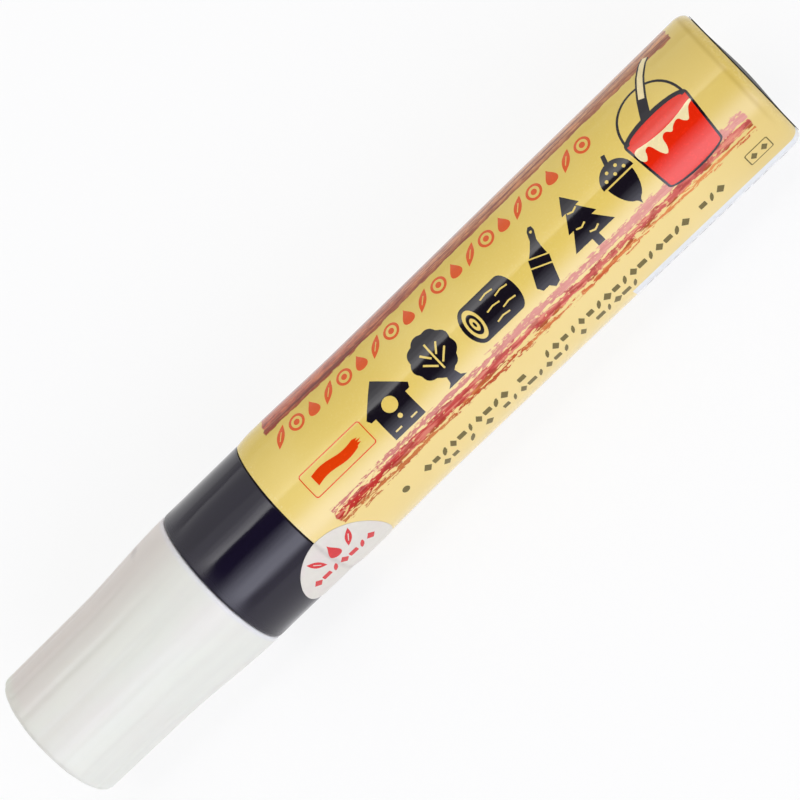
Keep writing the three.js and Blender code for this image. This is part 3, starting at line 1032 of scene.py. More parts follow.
print("sheets are cut into strips of", STRIP, "mm")

# %% Tree that wraps a sheet round the bottle
RAY_ROOM = 10 * MM

wrap_tree, given = new_tree("wrap_round_the_bottle", Object="Film Beside", Int="Settle",
                            Float="Start Middle Radius Floor Axis_Height")
flat = add(wrap_tree, "GeometryNodeInputPosition")
east = add(wrap_tree, "ShaderNodeSeparateXYZ", {"Vector": flat}, output="X")
angle = east.out("Y") / given("Radius") + given("Middle")
sideways = angle.math("COSINE") * -1
upwards = angle.math("SINE")


def out_by(reach):
    """The place at a reach from the axis, at each point's own station and angle."""
    return add(wrap_tree, "ShaderNodeCombineXYZ", {"X": given("Start") + east, "Y": sideways * reach,
                                                   "Z": upwards * reach + given("Axis Height")})


far = given("Radius") + RAY_ROOM
inwards = add(wrap_tree, "ShaderNodeCombineXYZ", {"Y": sideways * -1, "Z": upwards * -1})
under = wrap_tree.nodes.new("GeometryNodeJoinGeometry")
for key in ("Film", "Beside"):
    below_it = add(wrap_tree, "GeometryNodeObjectInfo", {"Object": given(key)}, output="Geometry")
    plug(wrap_tree, below_it, under.inputs[0])
hit = add(wrap_tree, "GeometryNodeRaycast", {
    "Target Geometry": Wire(wrap_tree, under.outputs[0]), "Source Position": out_by(far),
    "Ray Direction": inwards, "Ray Length": 1.0}, output="Hit Distance")
met = (far - hit).math("MAXIMUM", given("Floor"))
settled = add(wrap_tree, "GeometryNodeBlurAttribute", {"Value": met, "Iterations": given("Settle")})
wrapped = out_by(settled + east.out("Z"))
laid = add(wrap_tree, "GeometryNodeSetPosition", {"Geometry": given("Geometry"), "Position": wrapped})
end_tree(wrap_tree, given, laid)
ON_FILM = {"Film": film, "Start": TAIL_X - FILM_FRONT * MM, "Middle": FACING, "Radius": BODY_RADIUS * MM,
           "Floor": 0.0, "Axis Height": AXIS_Z, "Settle": 0}

# %% Inks
INK_SHEEN = 0.07


def ink(name, *colour):
    """Printing ink: a tone that breaks up a little where the film shows through."""
    material, tree = new_finish(name)
    speck = noise(tree, 2.5, detail=3.0)
    body = tint(*colour)
    light = [channel * 1.2 + 0.006 for channel in body[:3]]
    tone = blend(tree, body, (ease(speck, 0.5, 0.8) * 0.6, (*light, 1.0)))
    return dress(material, tone, speck * 0.06 + INK_SHEEN)


def printed(name, shapes, finish, top=INK_TOP, where=ON_FILM, slot="label_film", rungs=False):
    """A drawing in one ink, wrapped round the bottle. Sizes are in mm from the drawing's start."""
    sheet = flat_sheet(name, shapes, top, rungs)
    return fit(grown(name, sheet, finish, (wrap_tree, where)), "pen", slot)


black_ink = ink("black_ink", 20, 15, 24)
red_ink = ink("red_ink", 226, 38, 6)
row_ink = ink("row_ink", 220, 82, 4)
frame_ink = ink("frame_ink", 222, 60, 4)
sticker_ink = ink("sticker_ink", 206, 44, 48)
legend_ink = ink("legend_ink", 106, 92, 40)
cream_ink = ink("cream_ink", 240, 222, 168)
grey_ink = ink("grey_ink", 128, 128, 132)

# %% [markdown]
# ## Loops for the drawings
# A drawing is a list of shapes, and a shape is an outside loop followed by the loops of its holes. A few
# small helpers draw the loops that come up again and again.


# %% Loops
def arc(steps, sweep=math.pi):
    """Angles from 0 to a sweep, both ends included."""
    return [sweep * step / steps for step in range(steps + 1)]


def box(left, bottom, right, top):
    return [(left, bottom), (right, bottom), (right, top), (left, top)]


def oval(x, y, wide, high=None, steps=28):
    high = wide if high is None else high
    return [(x + wide * math.cos(turn), y + high * math.sin(turn)) for turn in arc(steps, math.tau)[:-1]]


def soft_box(left, bottom, right, top, fillet):
    corners = [(*corner, fillet) for corner in box(left, bottom, right, top)]
    return [tuple(point) for point in rounded(corners)]


def hollow(left, bottom, right, top, fillet, line):
    """A frame of one line width."""
    inner = soft_box(left + line, bottom + line, right - line, top - line, fillet - line / 2)
    return [soft_box(left, bottom, right, top, fillet), inner]


def ribbon(points, width):
    """A stroke of one width along a row of points."""
    sides = ([], [])
    for index, point in enumerate(points):
        before = Vector(points[max(index - 1, 0)])
        after = Vector(points[min(index + 1, len(points) - 1)])
        run = (after - before).normalized() * width / 2
        for side, sign in zip(sides, (1, -1)):
            side.append((point[0] - sign * run.y, point[1] + sign * run.x))
    return sides[0] + sides[1][::-1]


def softened(loop, rounds=2):
    """A loop that flows, because each round cuts its corners."""
    for _ in range(rounds):
        pairs = zip(loop, loop[1:] + loop[:1])
        loop = [(a[0] + (b[0] - a[0]) * part, a[1] + (b[1] - a[1]) * part)
                for a, b in pairs for part in (0.25, 0.75)]
    return loop


def drop(wide, high, steps=28):
    """A drop of paint with its tip up, about the middle of its height."""
    turns = arc(steps, math.tau)[:-1]
    return [(wide * math.sin(turn) * math.sin(turn / 2) ** 2, high * math.cos(turn)) for turn in turns]


def leaning(loop, lean):
    """A loop turned about its foot."""
    across, rise = math.cos(lean), math.sin(lean)
    return [(x * across - y * rise, x * rise + y * across) for x, y in loop]


def mirrored(loop, middle=0.0):
    """A loop seen in a mirror, in the other order."""
    return [(2 * middle - x, y) for x, y in loop[::-1]]


def moved(shapes, x, y, scale=1.0):
    return [[[(x + px * scale, y + py * scale) for px, py in loop] for loop in loops] for loops in shapes]


print("a round loop has", len(oval(0, 0, 1)), "points")

# %% [markdown]
# ## Pictures of wooden things
# The front of the film carries a row of bold black pictures from the world of wood: a bird house, a leafy
# tree, a log, a brush, a fir and an acorn. Each is about ten millimetres tall, with yellow cut-outs.


# %% House, tree and log
def bird_house():
    walls = [(0.9, 0), (7.3, 0), (7.3, 4.7), (8.2, 4.7), (8.6, 5.5), (4.1, 10),
             (-0.4, 5.5), (0, 4.7), (0.9, 4.7)]
    slots = [box(1.8, 0.9, 3.1, 1.2), box(5.1, 0.9, 6.4, 1.2)]
    return [[walls, oval(4.1, 4.9, 1.35), oval(4.1, 2.5, 0.42), *slots]]


def leafy_tree(lobes=9, middle=4.2):
    """A scalloped crown on a flared trunk, with the boughs cut out."""
    turns = [math.radians(-70 + 320 * step / 54) for step in range(55)]
    spread = [3.75 + 0.4 * abs(math.sin(lobes * turn / 2)) for turn in turns]
    crown = [(middle + reach * math.cos(turn), 5.9 + reach * math.sin(turn))
             for turn, reach in zip(turns, spread)]
    root = [(6.1, 0), (5.3, 0.6), (5.05, 1.7)]
    boughs = [[(middle, 3.0), (middle, 8.0)]]
    for side in (-1, 1):
        boughs += [[(middle + side * 0.5, low), (middle + side * reach, high)] for low, reach, high in
                   ((3.9, 2.3, 5.6), (5.5, 1.7, 7.1))]
    return [[root + crown + mirrored(root, middle), *[ribbon(bough, 0.34) for bough in boughs]]]


def log():
    """A lying log whose cut end shows its rings."""
    right = [(9.4 + 1.7 * math.sin(turn), 4.6 - 3.4 * math.cos(turn)) for turn in arc(14)]
    left = [(2.2 - 2.0 * math.sin(turn), 4.6 + 3.4 * math.cos(turn)) for turn in arc(14)]
    bark = [ribbon([(x, y), (x + 1.3, y + 0.22), (x + 2.6, y)], 0.28) for x, y in
            ((5.2, 2.4), (7.4, 3.5), (5.0, 4.6), (7.6, 5.7), (5.4, 6.8))]
    cut_end = [[oval(2.3, 4.6, 0.95, 1.9), oval(2.3, 4.6, 0.55, 1.2)], [oval(2.3, 4.6, 0.2, 0.5, 12)]]
    return [[right + left, oval(2.3, 4.6, 1.4, 2.75), *bark], *cut_end]


outlines = [picture()[0][0] for picture in (bird_house, leafy_tree, log)]
print("points of the house, the tree and the log:", [len(outline) for outline in outlines])


# %% Brush, fir and acorn
def brush():
    """A flat brush that leans to the right."""
    bristles = [(-1.9, 0.7), (-1.0, 0.0), (0.1, 0.5), (1.1, 0.0), (1.9, 0.7), (1.75, 3.7), (-1.75, 3.7)]
    ferrule = box(-1.75, 3.95, 1.75, 5.2)
    half = [(1.5, 5.45), (1.0, 6.6), (0.55, 8.0), (0.62, 9.6), (0.3, 10.3)]
    loops = ([bristles], [ferrule], [half + mirrored(half), oval(0, 9.4, 0.24, steps=14)])
    return moved([[leaning(loop, -0.42) for loop in shape] for shape in loops], 1.9, 0.5)


def fir():
    half = [(5.9, 7.2), (5.1, 7.2), (7.0, 4.4), (6.0, 4.4), (8.2, 1.5), (4.8, 1.5), (4.8, 0)]
    snow = [ribbon([(x, y), (x + 0.9, y - 0.35), (x + 1.8, y)], 0.3) for x, y in
            ((3.2, 7.0), (2.6, 4.3), (3.9, 2.6))]
    return [[[(4.1, 10), *half, *mirrored(half, 4.1)], *snow]]


def acorn():
    nut = [(3.1 - 2.55 * math.cos(turn), 5.2 - 4.3 * math.sin(turn) ** 1.3) for turn in arc(16)]
    nut[8:9] = [(2.85, 0.75), (3.1, 0.0), (3.35, 0.75)]
    hood = [(3.1 + 3.1 * math.cos(turn), 5.5 + 3.0 * math.sin(turn)) for turn in arc(16)]
    hood[8:9] = [(3.5, 8.4), (3.9, 9.8), (3.2, 10.0), (2.7, 8.4)]
    studs = [oval(x, y, 0.3, 0.3, 10) for x, y in
             ((1.3, 6.3), (3.1, 6.3), (4.9, 6.3), (2.2, 7.3), (4.0, 7.3))]
    return [[nut], [hood, *studs]]


outlines = [picture()[0][0] for picture in (brush, fir, acorn)]
print("points of the brush, the fir and the acorn:", [len(outline) for outline in outlines])

# %% Black pictures
PICTURES = ((bird_house, 8.6), (leafy_tree, 8.4), (log, 11.1), (brush, 7.0), (fir, 8.2), (acorn, 6.2))
PICTURE_START = 20.0
PICTURE_END = 77.0
PICTURE_FOOT = -3.7

black_shapes = []
gap = (PICTURE_END - PICTURE_START - sum(wide for _, wide in PICTURES)) / (len(PICTURES) - 1)
cursor = PICTURE_START
for picture, wide in PICTURES:
    black_shapes += moved(picture(), cursor, PICTURE_FOOT)
    cursor += wide + gap
printed("black_pictures", black_shapes, black_ink)

# %% [markdown]
# ## Paint pot
# Near the tail stands a picture of a red paint pot with a brush. It is printed in three layers, black,
# then red, then cream, so each layer is a hair higher than the one below it.

# %% Paint pot in three inks
POT_X = 84.0
POT_LINE = 0.42
LAYER = 0.008


def pot_body(grow):
    """The pot's side, wider by grow all round."""
    wide = 1 + grow / 5.2
    foot = [(5.2 * math.cos(turn) * wide, -4.6 - (0.9 + grow) * math.sin(turn)) for turn in arc(14)]
    return [(6.1 + grow, 4.2), *foot, (-6.1 - grow, 4.2)]


bail = [(6.0 * math.cos(turn), 4.4 + 6.6 * math.sin(turn)) for turn in arc(24)]
handle = [(-1.2, 5.0), (0.6, 8.6), (2.6, 12.2), (4.3, 14.6), (5.2, 15.4)]
drip = [(-6.0, 3.2), (-6.0, 1.2), (-5.3, 0.4), (-4.6, 1.2), (-4.4, 2.0), (-3.4, 2.2), (-2.9, 0.2),
        (-2.2, -1.0), (-1.4, 0.0), (-1.2, 1.6), (-0.2, 2.0), (0.6, 1.0), (1.3, 1.8), (2.6, 2.2), (3.0, 1.2),
        (3.7, 0.6), (4.4, 1.6), (5.1, 2.4), (6.0, 2.6), (6.0, 3.2), (3.2, 2.55), (0, 2.3), (-3.2, 2.55)]
rim = [oval(0, 4.3, 6.5, 1.75)]
pot_black = [[pot_body(POT_LINE)], rim, [ribbon(bail, POT_LINE)], [ribbon(handle, 1.75)]]
pot_red = [[pot_body(0)], [oval(0, 4.3, 5.5, 0.95)]]
pot_cream = [[softened(drip)], [ribbon(handle[1:], 1.05)]]
for name, shapes, layer, finish in (
    ("pot_outline", pot_black, 1, black_ink),
    ("pot_red", pot_red, 2, red_ink),
    ("pot_cream", pot_cream, 3, cream_ink),
):
    printed(name, moved(shapes, POT_X, 0), finish, INK_TOP + layer * LAYER)

# %% [markdown]
# ## Rows of small ornaments
# A red row runs along the top of the film and rows of plain dark marks along the bottom and over the
# back. A row is a job for Geometry Nodes: a line of points, one ornament on each point, and the same
# wrapping tree after it. A seed fixes which points are left out and how wide each mark is.

# %% Tree for a row
MOTIFS = ("First", "Second", "Third")

row_tree, given = new_tree("row_of_ornaments", Object=" ".join(MOTIFS), Int="Count Seed",
                           Float="Pitch Left Level Narrow Wide Keep")
start = add(row_tree, "ShaderNodeCombineXYZ", {"X": given("Left"), "Y": given("Level")})
step = add(row_tree, "ShaderNodeCombineXYZ", {"X": given("Pitch")})
line = add(row_tree, "GeometryNodeMeshLine", {
    "Count": given("Count"), "Start Location": start, "Offset": step})
chance = add(row_tree, "FunctionNodeRandomValue", {"Probability": given("Keep"), "Seed": given("Seed")},
             output=3, data_type="BOOLEAN")
dropped = add(row_tree, "FunctionNodeBooleanMath", {0: chance}, operation="NOT")
kept = add(row_tree, "GeometryNodeDeleteGeometry", {"Geometry": line, "Selection": dropped})
width = add(row_tree, "FunctionNodeRandomValue", {
    2: given("Narrow"), 3: given("Wide"), "Seed": given("Seed") + 1}, output=1, data_type="FLOAT")
choices = row_tree.nodes.new("GeometryNodeJoinGeometry")
for key in MOTIFS[::-1]:
    motif = {"Object": given(key), "As Instance": True}
    plug(row_tree, add(row_tree, "GeometryNodeObjectInfo", motif, output="Geometry"), choices.inputs[0])
index = add(row_tree, "GeometryNodeInputIndex").math("MODULO", len(MOTIFS))
stretch = add(row_tree, "ShaderNodeCombineXYZ", {"X": width, "Y": 1.0, "Z": 1.0})
row = add(row_tree, "GeometryNodeInstanceOnPoints", {
    "Points": kept, "Instance": Wire(row_tree, choices.outputs[0]), "Pick Instance": True,
    "Instance Index": index, "Scale": stretch})
end_tree(row_tree, given, row)


def print_row(name, motifs, finish, count, pitch, left, level, wide=(1.0, 1.0), keep=1.0, draw=1,
              where=ON_FILM, slot="label_film", rungs=False):
    """A row of ornaments wrapped round the bottle. Sizes are in mm from the drawing's start."""
    sheets = [flat_sheet(name + "_motif", shapes, INK_TOP, rungs) for shapes in motifs]
    workers = [placed(sheet.name, sheet) for sheet in sheets]
    values = {key: workers[index % len(workers)] for index, key in enumerate(MOTIFS)}
    values |= {"Count": count, "Pitch": pitch * MM, "Left": left * MM, "Level": level * MM,
               "Narrow": wide[0], "Wide": wide[1], "Keep": keep, "Seed": draw}
    empty = bpy.data.meshes.new(name + "_start")
    piece = grown(name, empty, finish, (row_tree, values), (wrap_tree, where))
    for worker in workers:
        bpy.data.objects.remove(worker)
    return fit(piece, "pen", slot)


# %% Small ornaments
LEAF_STEPS = 8


def leaf():
    """A small pointed leaf with a slit for its rib, leaning to the right."""
    blade = []
    for side in (1, -1):
        for step in range(LEAF_STEPS + 1):
            share = step / LEAF_STEPS if side == 1 else 1 - step / LEAF_STEPS
            wide = side * 0.62 * math.sin(math.pi * share)
            blade.append((share * 2.2 - 1.1 - wide * 0.8, share * 3.0 - 1.5 + wide * 0.6))
    unique = [point for index, point in enumerate(blade) if point != blade[index - 1]]
    return [[unique, ribbon([(-0.45, -0.6), (0.4, 0.55)], 0.16)]]


def rings():
    """The end of a log, with two rings."""
    return [[oval(0, 0, 1.25, 1.35), oval(0, 0, 0.85, 0.95)], [oval(0, 0, 0.45, 0.5)]]


def plank():
    """A short board with soft corners."""
    return [[soft_box(-0.85, -0.55, 0.85, 0.55, 0.18)]]


def diamond():
    return [[[(-0.85, 0), (0, -1.0), (0.85, 0), (0, 1.0)]]]


def seed():
    """A leaning seed, pointed at both ends."""
    return [[leaning(softened([(-0.5, 0), (0, -1.25), (0.5, 0), (0, 1.25)], 1), -0.5)]]


small_marks = [diamond(), plank(), seed()]
print("points of the small marks:", [len(shapes[0][0]) for shapes in small_marks])

# %% Rows on the film
DEGREE = math.radians(1) * BODY_RADIUS
ROW_SCALE = 1.2
LEGEND_ROWS = (("legend_upper", 36, 19.0, 49.5, 3), ("legend_lower", 23, 23.5, 60.2, 8))
LEGEND_PITCH = 1.85
LEGEND_WIDTHS = (0.7, 1.1)
LEGEND_KEEP = 0.9
PANEL_ROWS = 7
PANEL_MARKS = 16
PANEL_PITCH = 1.9
PANEL_LEFT = 65.6
PANEL_TOP = 84
PANEL_DROP = 10
PANEL_WIDTHS = (0.5, 1.0)
PANEL_KEEP = 0.86
PANEL_SEED = 20

ornaments = [moved(shapes, 0, 0, ROW_SCALE) for shapes in (leaf(), rings(), [[drop(1.45, 1.4)]])]
print_row("red_ornaments", ornaments, row_ink, count=20, pitch=3.45, left=7.6, level=10.4)
for name, count, left, angle, draw in LEGEND_ROWS:
    print_row(name, small_marks, legend_ink, count, LEGEND_PITCH, left, -angle * DEGREE,
              LEGEND_WIDTHS, LEGEND_KEEP, draw)
for row in range(PANEL_ROWS):
    level = -(PANEL_TOP + PANEL_DROP * row) * DEGREE
    print_row(f"panel_row_{row + 1}", [plank()], grey_ink, PANEL_MARKS, PANEL_PITCH, PANEL_LEFT, level,
              PANEL_WIDTHS, PANEL_KEEP, PANEL_SEED + row)

# %% [markdown]
# ## Frames and a brush stroke
# To the left of the pictures is a thin red frame with one broad brush stroke in it, and near the tail a
# tiny dark frame. Each frame is a box with a box cut out of it. A dark dot starts the upper row of marks.

# %% Frames
FRAME_LINE = 0.17
SMALL_LINE = 0.2
STROKE_STEPS = 16
BRISTLES = ((0.9, 0.22), (0.3, 0.12), (1.3, 0.02), (0.4, -0.1), (1.0, -0.24), (0.1, -0.34))


def brush_stroke(left, right, level, thick):
    """A broad stroke with a wavy run and a split end."""
    run = right - left
    upper, lower = [], []
    for share in arc(STROKE_STEPS, 1):
        middle = level + 0.28 * math.sin(math.tau * share)
        upper.append((left + run * share, middle + thick * (0.5 - 0.12 * share)))
        lower.append((left + run * share, middle - thick * (0.5 - 0.05 * share)))
    tip = [(right + reach, middle + thick * part) for reach, part in BRISTLES]
    return [upper + tip + lower[::-1]]


red_frame = [hollow(5.6, -1.7, 18.7, 3.0, 0.5, FRAME_LINE), brush_stroke(7.3, 15.9, 0.65, 1.9)]
printed("red_frame", red_frame, frame_ink)
small_frame = [hollow(89.6, -13.1, 94.3, -10.2, 0.35, SMALL_LINE)]
small_frame += moved(diamond(), 90.9, -11.65, 0.8) + moved(diamond(), 93.0, -11.65, 0.8)
small_frame += [[oval(16.0, -49.5 * DEGREE, 0.7)]]
printed("small_frame", small_frame, legend_ink)

# %% [markdown]
# ## The round sticker
# A paper disc is stuck over the film's front edge and reaches onto the collar. The wrapping tree lays it on
# both at once, and a few rounds of blur let it bridge the step with a soft crease instead of falling in.
# Its red print is a drop between two leaves over a row of plain marks.

# %% Sticker
STICKER_RADIUS = 8.75
STICKER_WALL = 0.09
STICKER_SINK = 0.1
STICKER_SETTLE = 3
STICKER_SIDES = 96
FOLD_SHADE_PLACE = 0.1
FOLD_SHADE_REACH = 0.7

sticker_paper, tree = new_finish("sticker_paper", Coat_Weight=0.25, Coat_Roughness=0.2)
fibre = noise(tree, 1.4, detail=4.0)
cloud = noise(tree, 0.25, shift=6.0)
station, below = marker_places(tree)
# Painted shade: a grey line on the sticker where it bends over the film's front edge.
fold_shade = 1 - ease((station - FILM_FRONT - FOLD_SHADE_PLACE).math("ABSOLUTE"), 0.0, FOLD_SHADE_REACH)
tone = blend(
    tree, tint(211, 206, 193),
    (fibre, tint(222, 217, 204)),
    (ease(cloud, 0.45, 0.75) * 0.5, tint(216, 202, 198)),
    (fold_shade * fibre * 0.9, tint(176, 170, 160)),
)
dress(sticker_paper, tone, fibre * 0.12 + 0.36, fibre, 0.008)

low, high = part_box("colour_sticker")
on_both = {**ON_FILM, "Beside": front_holder, "Start": (low.x + high.x) / 2, "Middle": 0.0,
           "Floor": (COLLAR_RADIUS - STICKER_SINK) * MM, "Settle": STICKER_SETTLE}
disc = [[oval(0, 0, STICKER_RADIUS, steps=STICKER_SIDES)]]
sheet = flat_sheet("round_sticker", disc, STICKER_WALL, rungs=True)
sticker = grown("round_sticker", sheet, sticker_paper, (wrap_tree, on_both))
fit(sticker, "pen", "sticker_paper", "colour_sticker")

# %% Print on the sticker
MARK_LEVEL = 5.2
LEAF_PLACE = 3.4

on_sticker = {**on_both, "Film": sticker, "Settle": 0}
right_leaf = moved(leaf(), LEAF_PLACE, MARK_LEVEL)
left_leaf = [[[(-x, y) for x, y in loop] for loop in loops] for loops in right_leaf]
marks = moved([[drop(1.7, 1.7)]], 0, MARK_LEVEL) + right_leaf + left_leaf
printed("sticker_marks", marks, sticker_ink, where=on_sticker, slot="sticker_paper", rungs=True)
print_row("sticker_dashes", small_marks, sticker_ink, count=7, pitch=1.9, left=-5.7, level=1.6,
          where=on_sticker, slot="sticker_paper", rungs=True)

# %% [markdown]
# ## The felt nib
# The nib is a rod of pressed fibre with two flats and a slanted writing edge. The rod is turned and cut by
# three planes. Felt has no sharp edge, so the cut rod is remeshed and smoothed, and a node tree then
# roughens its skin with noise drawn out along the fibres.

# %% Nib rod
NIB_SIDES = 96
NIB_SOCKET = 1.75
NIB_SOCKET_DEPTH = 4.0
NIB_EDGE = 4.0
NIB_FLAT = 8.0
NIB_SLANT = math.radians(32)

nib_rear, nib_tip, nib_radius = span("nib")
rod = turned("nib_rod", rounded([
    (nib_rear + NIB_SOCKET_DEPTH, 0, 0),
    (nib_rear + NIB_SOCKET_DEPTH, NIB_SOCKET, 0),
    (nib_rear, NIB_SOCKET, 0),
    (nib_rear, nib_radius, 0.5),
    (nib_tip, nib_radius, 0),
    (nib_tip, 0, 0),
]), NIB_SIDES)
flat_angle = math.atan2(nib_radius - NIB_EDGE / 2, NIB_FLAT)
cuts = [(Vector((-math.cos(NIB_SLANT), -math.sin(NIB_SLANT), 0)), spot(nib_tip, nib_radius, math.pi))]
for side in (1, -1):
    lean = Vector((-math.sin(flat_angle), 0, side * math.cos(flat_angle)))
    cuts.append((lean, spot(nib_tip, side * NIB_EDGE / 2, math.pi / 2)))
shape = bmesh.new()
shape.from_mesh(rod)
for square, through in cuts:
    everything = [*shape.verts, *shape.edges, *shape.faces]
    cut = bmesh.ops.bisect_plane(shape, geom=everything, plane_co=through, plane_no=square,
                                 clear_outer=True)
    ring = [item for item in cut["geom_cut"] if isinstance(item, bmesh.types.BMEdge)]
    bmesh.ops.contextual_create(shape, geom=ring)
closed(shape, rod)
print("cut rod has", len(rod.polygons), "faces")

# %% Felt
FELT_VOXEL = 0.16
FELT_FACTOR = 0.5
FELT_ROUNDS = 6
FELT_DEPTH = 0.09
FELT_DRAW = 0.2
FELT_SCALE = 1.8
FELT_LEVEL = 0.55

nib_felt, tree = new_finish("nib_felt", Sheen_Weight=0.25, Sheen_Roughness=0.6)
fibre = noise(tree, 3.2, draw=0.16, detail=4.0)
cloud = noise(tree, 0.35, draw=0.5, shift=3.0)
tone = blend(
    tree, tint(214, 204, 180),
    (ease(fibre, 0.3, 0.7), tint(242, 237, 222)),
    (ease(cloud, 0.45, 0.75) * 0.4, tint(218, 202, 168)),
)
dress(nib_felt, tone, fibre * 0.15 + 0.82, fibre, 0.12)

worker = placed("nib_worker", rod)
remesh = worker.modifiers.new("felt", "REMESH")
remesh.mode = "VOXEL"
remesh.voxel_size = FELT_VOXEL * MM
smooth = worker.modifiers.new("soft_edges", "SMOOTH")
smooth.factor = FELT_FACTOR
smooth.iterations = FELT_ROUNDS
soft_rod = plain_mesh(worker)

tree, given = new_tree("felt_skin", Float="Depth")
place = add(tree, "GeometryNodeInputPosition")
stretch = (FELT_DRAW / MM, 1 / MM, 1 / MM)
drawn = add(tree, "ShaderNodeVectorMath", {0: place, 1: stretch}, operation="MULTIPLY")
tuft = add(tree, "ShaderNodeTexNoise", {"Vector": drawn, "Scale": FELT_SCALE, "Detail": 3.0})
lift = (tuft - FELT_LEVEL) * given("Depth")
push = add(tree, "ShaderNodeVectorMath", {0: add(tree, "GeometryNodeInputNormal"), "Scale": lift},
           operation="SCALE")
rough = add(tree, "GeometryNodeSetPosition", {"Geometry": given("Geometry"), "Offset": push})
end_tree(tree, given, rough)
nib = grown("felt_nib", soft_rod, nib_felt, (tree, {"Depth": FELT_DEPTH * MM}))
fit(nib, "nib", "nib_felt", "nib")

# %% [markdown]
# ## The valve
# Behind the nib a spring holds a stem against a rubber seat. Pressing the nib pushes the stem back and
# lets paint through the windows of the valve case. Stem, seat, gasket and retainer are turned. The case's
# windows repeat round the axis, so a node tree puts a block on each quarter and cuts the blocks away.

# %% Stem, seat, gasket and retainer
STEM_SIDES = 64
STEM = 1.6
HEAD = 4.41
HEAD_LENGTH = 2.0
SEAT_GAP = 0.1
ORIFICE = 2.4
RETAINER_HOLE = 1.85

stem_rear, stem_tip, _ = span("valve_stem", VALVE_SIDES)
head_front = span("valve_seat", VALVE_SIDES)[0] - SEAT_GAP
head_rear = head_front - HEAD_LENGTH
stem = turned_piece("stem_with_head", stem_plastic, [
    (stem_rear, 0, 0),
    (stem_rear, STEM, 0.3),
    (head_rear, STEM, 0.25),
    (head_rear, HEAD, 0.25),
    (head_front, HEAD, 0.35),
    (head_front, STEM, 0.25),
    (stem_tip, STEM, 0.3),
    (stem_tip, 0, 0),
], STEM_SIDES)
fit(stem, "nib", "stem_plastic", "valve_stem")
for name, node, sides, bore, fillet, finish, slot in (
    ("rubber_seat", "valve_seat", VALVE_SIDES, ORIFICE, 0.2, seal_rubber, "seal_rubber"),
    ("rubber_gasket", "neck_gasket", FRAME_SIDES, NECK_BORE, 0.2, seal_rubber, "seal_rubber"),
    ("spring_stop", "spring_retainer", VALVE_SIDES, RETAINER_HOLE, 0.25, valve_plastic, "valve_plastic"),
):
    rear, front, radius = span(node, sides)
    corners = ((rear, bore), (rear, radius), (front, radius), (front, bore))
    washer = turned_piece(name, finish, [(*corner, fillet) for corner in corners], STEM_SIDES)
    fit(washer, "pen", slot, node)

# %% Valve case with windows
CASE_SIDES = 96
CASE_RADIUS = 7.31
CASE_BORE = 5.91
CASE_FLANGE = 1.6
WINDOWS = 4
WINDOW_WIDTH = 4.0
WINDOW_LENGTH = 7.0
WINDOW_SETBACK = 4.0
WINDOW_REACH = 2.5

case_rear, flange_front, flange_width = span("valve_case")
flange_rear = flange_front - CASE_FLANGE
case_start = turned("case_start", rounded([
    (case_rear, CASE_BORE, 0.2),
    (case_rear, CASE_RADIUS, 0.3),
    (flange_rear, CASE_RADIUS, 0.3),
    (flange_rear, flange_width, 0.2),
    (flange_front, flange_width, 0.2),
    (flange_front, ORIFICE, 0.2),
    (flange_rear, ORIFICE, 0.2),
    (flange_rear, CASE_BORE, 0.2),
]), CASE_SIDES)
tree, given = new_tree("windows", Int="Count", Float="Reach", Vector="Size Middle")
block = add(tree, "GeometryNodeMeshCube", {"Size": given("Size")})
lift = add(tree, "ShaderNodeCombineXYZ", {"Z": given("Reach")})
block = add(tree, "GeometryNodeTransform", {"Geometry": block, "Translation": lift})
points = add(tree, "GeometryNodeMeshLine", {
    "Count": given("Count"), "Start Location": given("Middle"), "Offset": (0, 0, 0)})
turn = add(tree, "GeometryNodeInputIndex") * math.tau / given("Count")
around = add(tree, "ShaderNodeCombineXYZ", {"X": turn})
blocks = add(tree, "GeometryNodeInstanceOnPoints", {
    "Points": points, "Instance": block, "Rotation": around})
blocks = add(tree, "GeometryNodeRealizeInstances", {"Geometry": blocks})
cut = add(tree, "GeometryNodeMeshBoolean", {"Mesh 1": given("Geometry"), "Mesh 2": blocks},
          operation="DIFFERENCE")
end_tree(tree, given, cut)
window_middle = head_front - WINDOW_SETBACK - WINDOW_LENGTH / 2
case = grown("case_with_windows", case_start, valve_plastic, (tree, {
    "Count": WINDOWS, "Size": (WINDOW_LENGTH * MM, WINDOW_WIDTH * MM, 2 * CASE_BORE * MM),
    "Reach": (CASE_BORE + WINDOW_REACH) * MM, "Middle": spot(window_middle, 0, 0)}))
fit(case, "pen", "valve_plastic", "valve_case")

# %% [markdown]
# ## Spring and mixing balls
# The spring is one wire wound round the stem. A Spiral node gives the line and a circle is swept along it,
# which is a true helix. When the nib is pressed the spring shortens towards its stop. Two steel balls lie
# loose in the paint and mix it when the pen is shaken.

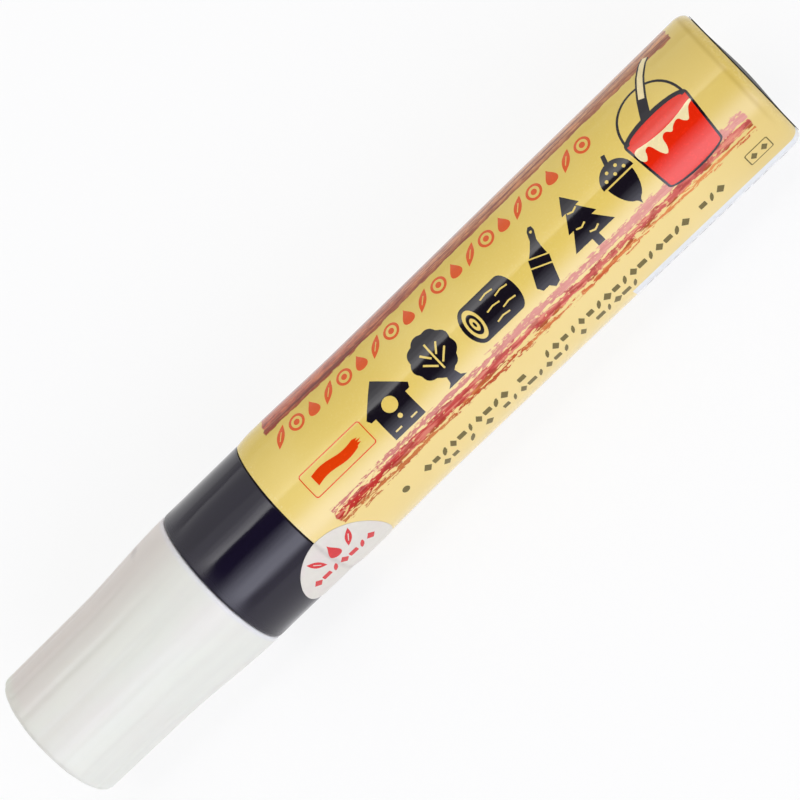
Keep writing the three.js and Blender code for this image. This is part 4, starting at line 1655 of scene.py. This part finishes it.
# %% Spring
SPRING_TURNS = 7
SPRING_RADIUS = 3.71
SPIRAL_STEPS = 48
WIRE = 0.4
WIRE_SIDES = 14
STROKE = 3.0

steel, tree = new_finish("drawn_steel", Metallic=1.0)
scratch = noise(tree, 2.5, draw=0.3, detail=3.0)
tone = blend(tree, tint(176, 179, 184), (scratch, tint(214, 216, 219)))
dress(steel, tone, scratch * 0.2 + 0.14, scratch, 0.003)

tree, given = new_tree("helix", Float="Turns Radius Wire Length", Vector="Start")
line = add(tree, "GeometryNodeCurveSpiral", {
    "Resolution": SPIRAL_STEPS, "Rotations": given("Turns"), "Start Radius": given("Radius"),
    "End Radius": given("Radius"), "Height": given("Length")})
round_wire = add(tree, "GeometryNodeCurvePrimitiveCircle", {
    "Resolution": WIRE_SIDES, "Radius": given("Wire")})
wound = add(tree, "GeometryNodeCurveToMesh", {
    "Curve": line, "Profile Curve": round_wire, "Fill Caps": True})
wound = add(tree, "GeometryNodeTransform", {
    "Geometry": wound, "Translation": given("Start"), "Rotation": (0, -math.pi / 2, 0)})
end_tree(tree, given, wound)
retainer_front = span("spring_retainer", VALVE_SIDES)[1]
spring_rear = retainer_front + SEAT_GAP + WIRE
spring_length = head_rear - SEAT_GAP - WIRE - spring_rear
spring = grown("wound_spring", bpy.data.meshes.new("spring_start"), steel, (tree, {
    "Turns": float(SPRING_TURNS), "Radius": SPRING_RADIUS * MM, "Wire": WIRE * MM,
    "Length": spring_length * MM, "Start": spot(spring_rear, 0, 0)}))
fit(spring, "pen", "spring_steel", "valve_spring")
room = head_rear - retainer_front
spot(retainer_front, 0, 0)
(room - STROKE) / room
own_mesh(spring)

# %% Mixing balls
BALL_ROUNDS = 5

for number in (1, 2):
    low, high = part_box(f"mixing_ball_{number}")
    shape = bmesh.new()
    bmesh.ops.create_icosphere(shape, subdivisions=BALL_ROUNDS, radius=(high.z - low.z) / 2,
                               matrix=Matrix.Translation((low + high) / 2))
    mesh = shaded(closed(shape, bpy.data.meshes.new(f"steel_ball_{number}")))
    ball = show(f"steel_ball_{number}", mesh, steel)
    fit(ball, f"ball_{number}", "ball_steel", f"mixing_ball_{number}")
